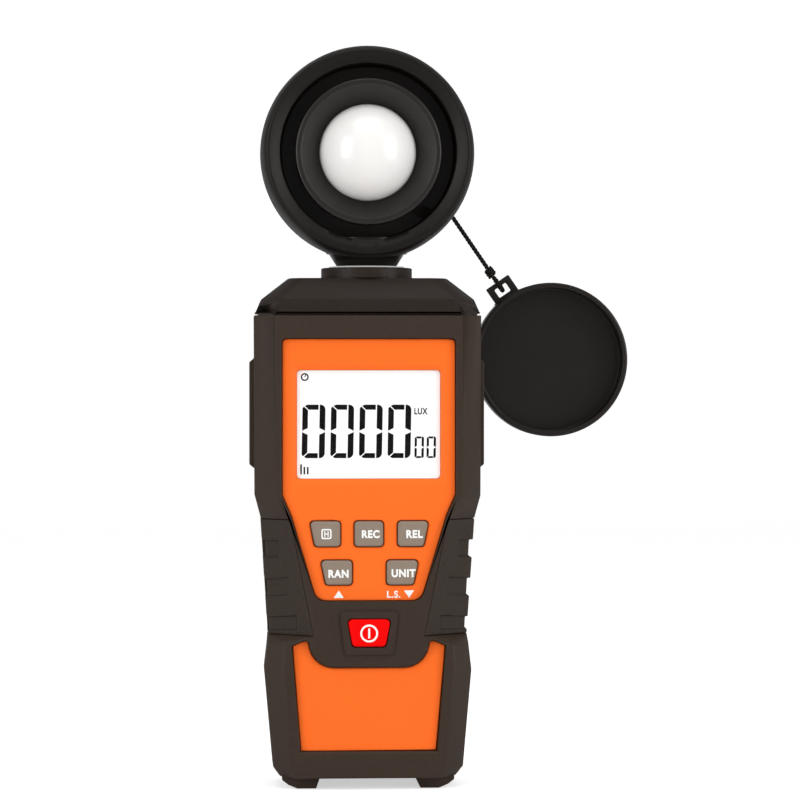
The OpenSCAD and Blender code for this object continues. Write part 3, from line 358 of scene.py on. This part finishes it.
def cordTree():
    tree, start, end = nodeTree("twistedCord", [
        ("Strand Radius", "Float", 0.0003), ("Lay Radius", "Float", 0.00035), ("Strands", "Int", 3),
        ("Turns", "Float", 10.0), ("Steps", "Int", 96), ("Material", "Material", None)])
    add = tree.nodes.new
    curve = add("GeometryNodeMeshToCurve")
    fine = add("GeometryNodeResampleCurve")
    copies = add("GeometryNodeDuplicateElements")
    copies.domain = "SPLINE"
    link(tree, start.outputs["Geometry"], curve.inputs["Mesh"])
    link(tree, curve.outputs["Curve"], fine.inputs["Curve"])
    link(tree, start.outputs["Steps"], fine.inputs["Count"])
    link(tree, fine.outputs["Curve"], copies.inputs["Geometry"])
    link(tree, start.outputs["Strands"], copies.inputs["Amount"])

    def calc(kind, a, b):
        node = add("ShaderNodeMath")
        node.operation = kind
        for socket, value in zip(node.inputs, (a, b)):
            if isinstance(value, (int, float)):
                socket.default_value = value
            elif value is not None:
                link(tree, value, socket)
        return node.outputs[0]

    along = add("GeometryNodeSplineParameter").outputs["Factor"]
    share = calc("DIVIDE", copies.outputs["Duplicate Index"], start.outputs["Strands"])
    angle = calc("MULTIPLY", calc("ADD", calc("MULTIPLY", along, start.outputs["Turns"]), share), 2 * math.pi)
    normal = add("GeometryNodeInputNormal").outputs["Normal"]
    tangent = add("GeometryNodeInputTangent").outputs["Tangent"]
    across = add("ShaderNodeVectorMath")
    across.operation = "CROSS_PRODUCT"
    link(tree, tangent, across.inputs[0])
    link(tree, normal, across.inputs[1])

    def scaled(vector, factor):
        node = add("ShaderNodeVectorMath")
        node.operation = "SCALE"
        link(tree, vector, node.inputs[0])
        link(tree, factor, node.inputs["Scale"])
        return node.outputs[0]

    total = add("ShaderNodeVectorMath")
    link(tree, scaled(normal, calc("COSINE", angle, None)), total.inputs[0])
    link(tree, scaled(across.outputs[0], calc("SINE", angle, None)), total.inputs[1])
    move = add("GeometryNodeSetPosition")
    link(tree, copies.outputs["Geometry"], move.inputs["Geometry"])
    link(tree, scaled(total.outputs[0], start.outputs["Lay Radius"]), move.inputs["Offset"])
    circle = add("GeometryNodeCurvePrimitiveCircle")
    circle.inputs["Resolution"].default_value = 8
    link(tree, start.outputs["Strand Radius"], circle.inputs["Radius"])
    skin = add("GeometryNodeCurveToMesh")
    skin.inputs["Fill Caps"].default_value = True
    link(tree, move.outputs["Geometry"], skin.inputs["Curve"])
    link(tree, circle.outputs["Curve"], skin.inputs["Profile Curve"])
    finishTree(tree, skin.outputs["Mesh"], start, end)
    return tree


twisted = cordTree()
strandR = cord["diameter"] / 2 * 0.464


def cordPiece(name, points, length, closed=False, slim=1.0, stands=()):
    turns = max(1, round(length / cord["lay"]))
    return grown(name, path(name, points, closed), twisted, {
        "Strand Radius": strandR * mm * slim, "Lay Radius": (cord["diameter"] / 2 - strandR) * mm * slim,
        "Strands": cord["strands"], "Turns": float(turns), "Steps": max(40, int(turns * 14))},
        "lens_cap_on_cord", "cordBlack", stands, 80)


def makeCord():
    run = [cordPoint(cord["start"] + (cord["stop"] - cord["start"]) * i / 19) for i in range(20)]
    capCord = cordPiece("capCord", run, cord["stop"] - cord["start"], stands=("cap_cord",))
    ring = [cordPoint(cord["loop"] * math.cos(2 * math.pi * i / 32), 0, cord["loop"] * math.sin(2 * math.pi * i / 32))
            for i in range(32)]
    cordPiece("postLoop", ring, 2 * math.pi * cord["loop"], True, 0.96, ("cord_loop",))
    # the knot: two and a half wraps, then the loop through the lug
    wraps = []
    for i in range(61):
        t = i / 60
        a = 2 * math.pi * 2.5 * t
        wraps.append(cordPoint(cord["knot"] - 1 + 2 * t, 0.8 * math.sin(a), 0.8 * math.cos(a)))
    knot = cordPiece("cordKnot", wraps, 12, slim=0.95, stands=("cord_knot",))
    eye = [cordPoint(cord["eye"] + cord["eyeLoop"] * math.cos(2 * math.pi * i / 32),
                     cord["eyeLoop"] * math.sin(2 * math.pi * i / 32)) for i in range(32)]
    eyeLoop = cordPiece("eyeLoop", eye, 2 * math.pi * cord["eyeLoop"], True, 0.96)


makeCord()
print("cord laid")

# ---- case ----

case = {"frameChamfer": 0.45, "lowChamfer": 0.7, "cornerSoft": 0.4, "edgeSoft": 0.3, "seamSoft": 0.15,
        "topEdge": 0.35}
sides = [(0, 23.4), (3.1, 23.5), (5.8, 25.4), (31.5, 27.7), (38.4, 26.9), (40.8, 26.7), (72, 28.6),
         (78, 30.2), (127, 30.4), (300, 30.4)]


def halfWidth(z):
    for (z0, w0), (z1, w1) in zip(sides, sides[1:]):
        if z <= z1:
            return w0 + (w1 - w0) * (z - z0) / (z1 - z0)
    return sides[-1][1]


def frontRule(mid, normals, convex):
    if mid.y > -13 and abs(mid.x) < halfWidth(mid.z) - 1.9 and mid.z > 4:
        return 0
    flat = [n for n in normals if n.y < -0.95]
    if 36 < mid.z < 73.5 and mid.y < 10:  # narrow strips round the grips and the power key
        return 0
    if mid.y < -15.9:
        return case["edgeSoft"]
    if mid.y < -15.3 and flat:
        other = [n for n in normals if n.y > -0.95]
        if other and abs(other[0].y) < 0.2:
            return case["lowChamfer"] if mid.z < 40.5 and mid.z > 9 else case["frameChamfer"]
        return case["cornerSoft"] if mid.z > 77 or mid.z < 36 else 0.15
    if mid.y > 3.9:
        return case["seamSoft"]
    if mid.y > -15.3 and mid.y < -12:
        return 0.2 if not convex else 0.3
    return case["edgeSoft"] if convex else 0.15


def rearRule(mid, normals, convex):
    inside = mid.y < 13 and abs(mid.x) < halfWidth(mid.z) - 1.9 and mid.z > 4
    if inside or not convex:
        return 0
    return case["seamSoft"] if mid.y < 4.1 else 0.25


softened("frontCase", "front_case", "case", "caseBlack", 1.0, frontRule)
softened("rearCase", "rear_case", "case", "caseBlack", 0.5, rearRule, 2)


def topRule(mid, normals, convex):
    if mid.z < 126.3 or not convex or Vector((mid.x, mid.y)).length < 11:
        return 0
    return case["topEdge"]


softened("topCap", "top_cap", "case", "topBlack", 0.4, topRule)
for side in ("left", "right"):
    softened("grip" + side.capitalize(), "grip_" + side, "case", "gripRubber", 0.3,
             lambda mid, normals, convex: 0.25 if convex else 0.3)
softened("upperPanel", "upper_panel", "case", "panelOrange", 0.35,
         lambda mid, normals, convex: 0.35 if mid.y < -14 else 0)
softened("lowerPanel", "lower_panel", "case", "panelOrange", 0.4,
         lambda mid, normals, convex: 0.4 if mid.y < -14 else 0)
print("case and panels done")

# ---- battery door ----

door = {"edge": 0.3, "ribs": 5, "ribPitch": 1.6, "ribLength": 13, "ribRadius": 0.45, "ribZ": 19}
softened("batteryDoor", "battery_door", "battery_door", "caseBlack", door["edge"],
         lambda mid, normals, convex: door["edge"] if convex and mid.y > 14.9 and abs(mid.x) < 18.7 else 0)


def ribTree():
    tree, start, end = nodeTree("ribRow", [
        ("Radius", "Float", 0.0004), ("Length", "Float", 0.01), ("Count", "Int", 5), ("Pitch", "Float", 0.0015),
        ("Material", "Material", None)])
    add = tree.nodes.new
    bar = add("GeometryNodeMeshCylinder")
    bar.inputs["Vertices"].default_value = 20
    link(tree, start.outputs["Radius"], bar.inputs["Radius"])
    link(tree, start.outputs["Length"], bar.inputs["Depth"])
    turn = add("GeometryNodeTransform")
    turn.inputs["Rotation"].default_value = (0, math.pi / 2, 0)
    link(tree, bar.outputs["Mesh"], turn.inputs["Geometry"])
    line = add("GeometryNodeMeshLine")
    step = add("ShaderNodeCombineXYZ")
    link(tree, start.outputs["Pitch"], step.inputs["Z"])
    link(tree, start.outputs["Count"], line.inputs["Count"])
    link(tree, step.outputs[0], line.inputs["Offset"])
    put = add("GeometryNodeInstanceOnPoints")
    link(tree, line.outputs["Mesh"], put.inputs["Points"])
    link(tree, turn.outputs["Geometry"], put.inputs["Instance"])
    where = add("GeometryNodeInputPosition")
    spot = add("GeometryNodeSampleIndex")
    spot.data_type = "FLOAT_VECTOR"
    link(tree, start.outputs["Geometry"], spot.inputs["Geometry"])
    link(tree, where.outputs[0], spot.inputs["Value"])
    move = add("GeometryNodeTransform")
    link(tree, put.outputs["Instances"], move.inputs["Geometry"])
    link(tree, spot.outputs[0], move.inputs["Translation"])
    finishTree(tree, move.outputs["Geometry"], start, end)
    return tree


def points(name, places):
    mesh = bpy.data.meshes.new(name)
    mesh.from_pydata([Vector(p) * mm for p in places], [], [])
    return mesh


grown("doorRibs", points("doorRibs", [(0, 15.5, door["ribZ"])]), ribTree(), {
    "Radius": door["ribRadius"] * mm, "Length": door["ribLength"] * mm, "Count": door["ribs"],
    "Pitch": door["ribPitch"] * mm}, "battery_door", "caseBlack")

# ---- screws ----

screws = {"slot": 0.5}


def screwTree():
    tree, start, end = nodeTree("screwSet", [
        ("Head Radius", "Float", 0.0023), ("Head Height", "Float", 0.0014), ("Shank Radius", "Float", 0.0012),
        ("Shank Length", "Float", 0.01), ("Slot Width", "Float", 0.0005), ("Material", "Material", None)])
    add = tree.nodes.new

    def rod(radius, length, faces):
        node = add("GeometryNodeMeshCylinder")
        node.inputs["Vertices"].default_value = faces
        link(tree, radius, node.inputs["Radius"])
        link(tree, length, node.inputs["Depth"])
        return node.outputs["Mesh"]

    def moved(shape, z):
        node = add("GeometryNodeTransform")
        link(tree, shape, node.inputs["Geometry"])
        if z is not None:
            link(tree, z, node.inputs["Translation"])
        return node

    def times(value, factor):
        node = add("ShaderNodeMath")
        node.operation = "MULTIPLY"
        link(tree, value, node.inputs[0])
        node.inputs[1].default_value = factor
        return node.outputs[0]

    def up(value):
        node = add("ShaderNodeCombineXYZ")
        link(tree, value, node.inputs["Z"])
        return node.outputs[0]

    high = start.outputs["Head Height"]
    head = moved(rod(start.outputs["Head Radius"], high, 32), up(times(high, 0.5)))
    shank = moved(rod(start.outputs["Shank Radius"], start.outputs["Shank Length"], 20),
                  up(times(start.outputs["Shank Length"], -0.499)))
    cut = add("GeometryNodeMeshBoolean")
    cut.operation = "DIFFERENCE"
    link(tree, head.outputs["Geometry"], cut.inputs["Mesh 1"])
    for quarter in (0, 1):
        box = add("GeometryNodeMeshCube")
        size = add("ShaderNodeCombineXYZ")
        link(tree, times(start.outputs["Head Radius"], 1.2), size.inputs["X"])
        link(tree, start.outputs["Slot Width"], size.inputs["Y"])
        link(tree, high, size.inputs["Z"])
        link(tree, size.outputs[0], box.inputs["Size"])
        arm = moved(box.outputs["Mesh"], up(times(high, 1.0)))
        arm.inputs["Rotation"].default_value = (0, 0, quarter * math.pi / 2)
        link(tree, arm.outputs["Geometry"], cut.inputs["Mesh 2"])
    whole = add("GeometryNodeJoinGeometry")
    link(tree, cut.outputs["Mesh"], whole.inputs[0])
    link(tree, shank.outputs["Geometry"], whole.inputs[0])
    put = add("GeometryNodeInstanceOnPoints")
    put.inputs["Rotation"].default_value = (-math.pi / 2, 0, 0)
    link(tree, start.outputs["Geometry"], put.inputs["Points"])
    link(tree, whole.outputs["Geometry"], put.inputs["Instance"])
    finishTree(tree, put.outputs["Instances"], start, end)
    return tree


screwSet = screwTree()


def screwGroup(name, places, headR, headH, shankR, length, body, node):
    grown(name, points(name, places), screwSet, {
        "Head Radius": headR * mm, "Head Height": headH * mm, "Shank Radius": shankR * mm,
        "Shank Length": length * mm, "Slot Width": screws["slot"] * mm}, body, "screwSteel", (node,))


screwGroup("caseScrews", [(x, 9.4, z) for x, z in ((-25, 106), (25, 106), (-22.9, 24), (22.9, 24))],
           2.3, 1.4, 1.2, 15.9, "case", "case_screws")
screwGroup("headScrews", [(24.1 * math.cos(math.radians(a)), 2.6, 169.7 + 24.1 * math.sin(math.radians(a)))
                          for a in (45, 135, 225, 315)], 2.1, 1.2, 1.1, 7.2, "sensor_head", "head_screws")
screwGroup("doorScrew", [(0, 14.4, 13.6)], 2.4, 0.9, 1.25, 4.6, "battery_door", "door_screw")
print("door and screws done")

# ---- keys ----

keys = {"soft": 0.6, "steps": 4, "inkHeight": 0.04, "letter": 2.15, "bold": 0.045, "squeeze": 0.92}


def keyRule(mid, normals, convex):
    return keys["soft"] if mid.y < -14.5 and convex else 0


for node in ("key_hold", "key_record", "key_relative", "key_range", "key_unit"):
    part = node.split("_")[1]
    softened(part + "Key", node, node, "keyGrey", keys["soft"], keyRule, keys["steps"])
softened("powerKey", "key_power", "key_power", "keyRed", keys["soft"], keyRule, keys["steps"])


def lettering(name, text, x, z, y, height, body, mat, bold=0.0, squeeze=1.0, deep=0.04):
    curve = bpy.data.curves.new(name, "FONT")
    curve.body = text
    curve.size = 1
    curve.align_x = "CENTER"
    curve.align_y = "CENTER"
    curve.offset = bold
    curve.extrude = 0.05
    curve.space_character = 1.12
    obj = bpy.data.objects.new(name, curve)
    bpy.context.scene.collection.objects.link(obj)
    mesh = bpy.data.meshes.new_from_object(obj.evaluated_get(bpy.context.evaluated_depsgraph_get()))
    bpy.data.objects.remove(obj)
    lows = [min(v.co[i] for v in mesh.vertices) for i in range(2)]
    highs = [max(v.co[i] for v in mesh.vertices) for i in range(2)]
    s = height / (highs[1] - lows[1])
    for v in mesh.vertices:
        px = (v.co.x - (lows[0] + highs[0]) / 2) * s * squeeze
        pz = (v.co.y - (lows[1] + highs[1]) / 2) * s
        py = -deep if v.co.z > 0 else 0
        v.co = Vector((x + px, y + py, z + pz)) * mm
    return keep(name, mesh, body, mat)


faceY = -15.0
for text, node, x, z in (("REC", "key_record", 0.45, 68), ("REL", "key_relative", 12.1, 68),
                         ("RAN", "key_range", -8.1, 57.5), ("UNIT", "key_unit", 9.2, 57.6)):
    lettering(node.split("_")[1] + "Legend", text, x, z, faceY, keys["letter"], node, "inkWhite",
              keys["bold"], keys["squeeze"], keys["inkHeight"])


def flatRing(bm, outer, inner, y0, y1):
    n = len(outer)
    rows = [[bm.verts.new((x * mm, y * mm, z * mm)) for x, z in loop]
            for loop, y in ((outer, y0), (inner, y0), (inner, y1), (outer, y1))]
    for i in range(n):
        j = (i + 1) % n
        for a, b in zip(rows, rows[1:] + rows[:1]):
            bm.faces.new((a[i], a[j], b[j], b[i]))
    bmesh.ops.recalc_face_normals(bm, faces=bm.faces)


def squareLoop(x, z, half, r):
    return roundCorners([(x - half, z - half), (x + half, z - half), (x + half, z + half), (x - half, z + half)],
                        [r] * 4)


def holdMark():
    x, z = -11.3, 68.05
    bm = bmesh.new()
    flatRing(bm, squareLoop(x, z, 1.35, 0.45), squareLoop(x, z, 0.98, 0.2), faceY - 0.04, faceY)
    keep("holdFrame", meshFrom(bm, "holdFrame"), "key_hold", "inkWhite")
    lettering("holdLegend", "H", x, z, faceY, 1.5, "key_hold", "inkWhite", 0.03, 0.9)


def powerMark():
    y = min(v.co.y for v in nodes["key_power"].data.vertices) / mm
    bm = bmesh.new()
    flatRing(bm, arc(0, 41.7, 2.36, 0, 354, 59), arc(0, 41.7, 1.86, 0, 354, 59), y - 0.04, y)
    prism(bm, [(-0.25, 40.4), (0.25, 40.4), (0.25, 43), (-0.25, 43)], y - 0.04, y)
    keep("powerSymbol", meshFrom(bm, "powerSymbol"), "key_power", "inkWhite")


def panelMarks():
    bm = bmesh.new()
    y = -14.2
    prism(bm, [(-9.35, 51.0), (-6.65, 51.0), (-8, 53.0)], y - 0.04, y)
    prism(bm, [(12.05, 53.0), (10.7, 51.0), (9.35, 53.0)][::-1], y - 0.04, y)
    bmesh.ops.recalc_face_normals(bm, faces=bm.faces)
    keep("arrowMarks", meshFrom(bm, "arrowMarks"), "case", "inkWhite")
    lettering("lampLegend", "L.S.", 6.6, 51.95, y, 1.9, "case", "inkWhite", 0.03, 0.95)


holdMark()
powerMark()
panelMarks()
print("keys done")

# ---- display ----

display = {"lensFront": -13.6, "faceY": -12.84, "bigHeight": 14.23, "bigPitch": 7.62, "smallHeight": 5.76,
           "smallPitch": 3.21, "slant": 0.018, "ink": 0.03}


def windowOutline(grow=0.0):
    w, h = 19.15 + grow, 14.5 + grow
    zc = 97.1
    return roundCorners([(-w, zc - h), (w, zc - h), (w, zc + h), (-w, zc + h)], [1] * 4)


def makeWindow():
    bm = bmesh.new()
    prism(bm, windowOutline(-0.1), display["lensFront"], display["faceY"] - 0.06)
    bmesh.ops.recalc_face_normals(bm, faces=bm.faces)
    keep("displayLens", meshFrom(bm, "displayLens"), "case", "clearLens", ("lcd_window",))
    # the white display sheet behind the lens glows with painted light
    bm = bmesh.new()
    prism(bm, windowOutline(-0.1), display["faceY"], -12.6)
    bmesh.ops.recalc_face_normals(bm, faces=bm.faces)
    keep("displayFace", meshFrom(bm, "displayFace"), "case", "displayWhitePaintedGlow")


def zeroDigit():
    left = [(0, 0.512), (0.105, 0.562), (0.105, 0.893), (0.028, 0.965), (0, 0.935)]
    top = [(0.045, 0.975), (0.118, 0.905), (0.3, 0.905), (0.3, 1), (0.085, 1)]
    right = [(0.322, 0.562), (0.43, 0.512), (0.43, 0.9)] + arc(0.335, 0.905, 0.095, 5, 85, 5) + [(0.322, 1)]
    bm = bmesh.new()
    for shape in (left, top, right):
        for flip in (False, True):
            outline = [(x / mm, (1 - z if flip else z) / mm) for x, z in shape]
            prism(bm, outline[::-1] if flip else outline, -1 / mm, 0)
    bmesh.ops.recalc_face_normals(bm, faces=bm.faces)
    mesh = bpy.data.meshes.new("zero")
    bm.to_mesh(mesh)
    bm.free()
    return mesh


def digitTree():
    tree, start, end = nodeTree("digitRow", [
        ("Height", "Float", 0.014), ("Depth", "Float", 0.00003), ("Count", "Int", 4), ("Pitch", "Float", 0.0076),
        ("Slant", "Float", 0.02), ("First Place", "Vector", None), ("Material", "Material", None)])
    add = tree.nodes.new
    size = add("ShaderNodeCombineXYZ")
    link(tree, start.outputs["Height"], size.inputs["X"])
    link(tree, start.outputs["Depth"], size.inputs["Y"])
    link(tree, start.outputs["Height"], size.inputs["Z"])
    shaped = add("GeometryNodeTransform")
    link(tree, start.outputs["Geometry"], shaped.inputs["Geometry"])
    link(tree, size.outputs[0], shaped.inputs["Scale"])
    where = add("GeometryNodeInputPosition")
    parts = add("ShaderNodeSeparateXYZ")
    link(tree, where.outputs[0], parts.inputs[0])
    lean = add("ShaderNodeMath")
    lean.operation = "MULTIPLY"
    link(tree, parts.outputs["Z"], lean.inputs[0])
    link(tree, start.outputs["Slant"], lean.inputs[1])
    shift = add("ShaderNodeCombineXYZ")
    link(tree, lean.outputs[0], shift.inputs["X"])
    leaning = add("GeometryNodeSetPosition")
    link(tree, shaped.outputs["Geometry"], leaning.inputs["Geometry"])
    link(tree, shift.outputs[0], leaning.inputs["Offset"])
    step = add("ShaderNodeCombineXYZ")
    link(tree, start.outputs["Pitch"], step.inputs["X"])
    line = add("GeometryNodeMeshLine")
    link(tree, start.outputs["Count"], line.inputs["Count"])
    link(tree, start.outputs["First Place"], line.inputs["Start Location"])
    link(tree, step.outputs[0], line.inputs["Offset"])
    put = add("GeometryNodeInstanceOnPoints")
    link(tree, line.outputs["Mesh"], put.inputs["Points"])
    link(tree, leaning.outputs["Geometry"], put.inputs["Instance"])
    finishTree(tree, put.outputs["Instances"], start, end)
    return tree


def makeDigits():
    row = digitTree()
    y = display["faceY"]
    for name, height, pitch, count, x in (("bigDigits", display["bigHeight"], display["bigPitch"], 4, -17.84),
                                          ("smallDigits", display["smallHeight"], display["smallPitch"], 2, 12.19)):
        grown(name, zeroDigit(), row, {
            "Height": height * mm, "Depth": display["ink"] * mm, "Count": count, "Pitch": pitch * mm,
            "Slant": display["slant"], "First Place": (x * mm, y * mm, 88.13 * mm)},
            "case", "displayInk")
    lettering("unitMark", "LUX", 13.95, 100.6, y, 1.75, "case", "displayInk", 0.03, 0.74, 0.03)
    bm = bmesh.new()
    for x, top in ((-17.97, 86.5), (-17.1, 85.8), (-16.2, 85.8)):
        prism(bm, [(x - 0.22, 83.85), (x + 0.22, 83.85), (x + 0.22, top), (x - 0.22, top)], y - 0.03, y)
    flatRing(bm, arc(-17, 109.7, 1.06, 0, 350, 35), arc(-17, 109.7, 0.68, 0, 350, 35), y - 0.03, y)
    prism(bm, [(-17.1, 109.7), (-16.9, 109.6), (-16.55, 110.5), (-16.75, 110.6)], y - 0.03, y)
    bmesh.ops.recalc_face_normals(bm, faces=bm.faces)
    keep("displayIcons", meshFrom(bm, "displayIcons"), "case", "displayInk")


makeWindow()
makeDigits()
print("display done")

# ---- neck and head ----

head = {"z": 169.7, "domeR": 12.9, "domeBall": 13.174, "domeY": -5.926, "steps": 144}


def makeNeck():
    outline = [(3, 127.8)] + [(8, 127.8), (8, 128.8), (7.1, 128.8), (7.1, 129.7), (8, 129.7), (8, 139.4)]
    outline += roundCorners([(10.95, 139.4), (10.95, 147), (9.6, 147)], [0.5, 0.01, 0.01])[:-1]
    outline += [(10.9, 147), (3, 147)]
    bm = bmesh.new()
    lathe(bm, outline, (0, 0, 0), "Z")
    keep("swivelNeck", meshFrom(bm, "swivelNeck"), "sensor_head", "neckBlack", ("swivel_neck",))


def makeDome():
    ball, cy = head["domeBall"], head["domeY"]
    r = head["domeR"]
    edge = math.degrees(math.asin(r / ball))
    outer = [(ball * math.sin(math.radians(edge * i / 24)), cy - ball * math.cos(math.radians(edge * i / 24)))
             for i in range(25)]
    thin = ball - 1.6
    innerEdge = math.degrees(math.asin((r - 1.6) / thin))
    inner = [(thin * math.sin(math.radians(innerEdge * i / 16)), cy - thin * math.cos(math.radians(innerEdge * i / 16)))
             for i in range(17)]
    outline = outer + [(r, -6.2), (r + 1.8, -6.2), (r + 1.8, -4.8), (r - 1.6, -4.8)] + inner[::-1]
    bm = bmesh.new()
    lathe(bm, outline, (0, 0, head["z"]), "Y", head["steps"])
    keep("diffuserDome", meshFrom(bm, "diffuserDome"), "sensor_head", "domeWhite", ("diffuser_dome",))


def makeRing():
    outline = roundCorners(
        [(19.5, -6.2), (19.5, -13.4), (18.0, -13.4), (17.6, -12.9), (13.0, -8.6), (13.0, -6.2), (14.8, -6.2),
         (14.8, -3.0), (21.5, -3.0), (21.5, -4.5), (19.2, -4.5), (19.2, -6.2)],
        [0, 0.6, 0.3, 0.3, 0.15, 0, 0, 0, 0.2, 0, 0, 0])
    bm = bmesh.new()
    lathe(bm, outline, (0, 0, head["z"]), "Y", head["steps"])
    keep("domeRing", meshFrom(bm, "domeRing"), "sensor_head", "funnelBlack", ("dome_ring",))


def headRule(mid, normals, convex):
    r = Vector((mid.x, mid.z - 169.7)).length
    if not convex or (r < 23 and mid.y < 10) or mid.z < 149:
        return 0
    return 0.25 if abs(mid.y + 2) > 0.3 else 0.12


makeNeck()
makeDome()
makeRing()
softened("headFront", "head_front", "sensor_head", "headBlack", 0.3, headRule)
softened("headBack", "head_back", "sensor_head", "headBlack", 0.3, headRule)
softened("cordPost", "cord_post", "sensor_head", "headBlack", 0.3,
         lambda mid, normals, convex: 0.3 if mid.y > 16.5 else 0)
print("head done")

# ---- lens cap ----

softened("lensCap", "lens_cap", "lens_cap_on_cord", "capBlack", 0.35,
         lambda mid, normals, convex: 0.3)

# ---- inner parts keep their shapes and get a finish ----

inner = {
    "innerWhite": ("lcd_reflector", "cable_plug", "swivel_washer"),
    # the inner LCD glass shares the display sheet's painted glow
    "displayWhitePaintedGlow": ("lcd_glass",),
    "innerDark": ("lcd_holder", "contact_strip", "key_switches", "sensor_cable", "dome_gasket", "sensor_holder"),
    "boardGreen": ("main_board", "sensor_board"),
    "chipBlack": ("board_chips",),
    "cellSleeve": ("batteries",),
    "wireRed": ("battery_wires",),
    "filterGreen": ("photo_filter",),
    "screwSteel": ("battery_springs", "battery_contacts", "board_screws", "cap_screws", "spring_washer",
                   "retaining_ring", "neck_screws", "photodiode", "sensor_screws"),
}
finishes = {node: mat for mat, group in inner.items() for node in group}
for name, obj in nodes.items():
    obj.data.materials.clear()
    obj.data.materials.append(mats[finishes.get(name, "caseBlack")])
print("inner parts finished")

# ---- stage and light ----

stage = {"floor": 0.86, "floorLift": 0.55, "world": 0.46, "side": 4.2, "top": 2.4}


def rays(tree, kinds):
    source = tree.nodes.new("ShaderNodeLightPath")
    total = source.outputs[kinds[0]]
    for kind in kinds[1:]:
        node = tree.nodes.new("ShaderNodeMath")
        node.operation = "MAXIMUM"
        link(tree, total, node.inputs[0])
        link(tree, source.outputs[kind], node.inputs[1])
        total = node.outputs[0]
    return total


def makeStage(s):
    bm = bmesh.new()
    profile = [(-3, 0), (1.4, 0)] + [(1.4 + 0.6 * math.sin(math.radians(a)), 0.6 - 0.6 * math.cos(math.radians(a)))
                                     for a in range(10, 91, 10)] + [(2.0, 3.0)]
    rows = [[bm.verts.new((x, y, z)) for y, z in profile] for x in (-3, 3)]
    for i in range(len(profile) - 1):
        bm.faces.new((rows[0][i], rows[1][i], rows[1][i + 1], rows[0][i + 1]))
    mesh = meshFrom(bm, "floor")
    floor = bpy.data.objects.new("floor", mesh)
    bpy.context.scene.collection.objects.link(floor)
    mat = bpy.data.materials.new("paleFloor")
    mat.use_nodes = True
    tree = mat.node_tree
    bsdf = tree.nodes["Principled BSDF"]
    bsdf.inputs["Base Color"].default_value = (s["floor"], s["floor"], s["floor"], 1)
    bsdf.inputs["Roughness"].default_value = 0.9
    bsdf.inputs["Specular IOR Level"].default_value = 0
    bsdf.inputs["Emission Color"].default_value = (1, 1, 1, 1)
    lift = tree.nodes.new("ShaderNodeMath")
    lift.operation = "MULTIPLY"
    lift.inputs[1].default_value = s["floorLift"]
    link(tree, rays(tree, ("Is Camera Ray", "Is Transmission Ray")), lift.inputs[0])
    link(tree, lift.outputs[0], bsdf.inputs["Emission Strength"])
    mesh.materials.append(mat)

    world = bpy.data.worlds.new("studio")
    bpy.context.scene.world = world
    world.use_nodes = True
    tree = world.node_tree
    back = tree.nodes["Background"]
    back.inputs["Color"].default_value = (1, 1, 1, 1)
    level = tree.nodes.new("ShaderNodeMapRange")
    level.inputs["To Min"].default_value = s["world"]
    level.inputs["To Max"].default_value = 1
    link(tree, rays(tree, ("Is Camera Ray", "Is Transmission Ray")), level.inputs["Value"])
    link(tree, level.outputs["Result"], back.inputs["Strength"])


def lamp(name, place, aim, size, power):
    data = bpy.data.lights.new(name, "AREA")
    data.shape = "RECTANGLE"
    data.size, data.size_y = size
    data.energy = power
    obj = bpy.data.objects.new(name, data)
    bpy.context.scene.collection.objects.link(obj)
    obj.location = place
    obj.rotation_euler = (Vector(aim) - Vector(place)).to_track_quat("-Z", "Y").to_euler()


makeStage(stage)
lamp("leftBox", (-0.75, -0.55, 0.3), (0, 0, 0.12), (0.4, 0.7), stage["side"])
lamp("rightBox", (0.75, -0.5, 0.3), (0, 0, 0.12), (0.4, 0.7), stage["side"])
lamp("topBox", (0, -0.3, 0.95), (0, 0, 0.1), (0.7, 0.5), stage["top"])
bpy.context.scene.view_settings.view_transform = "Standard"
print("stage ready")
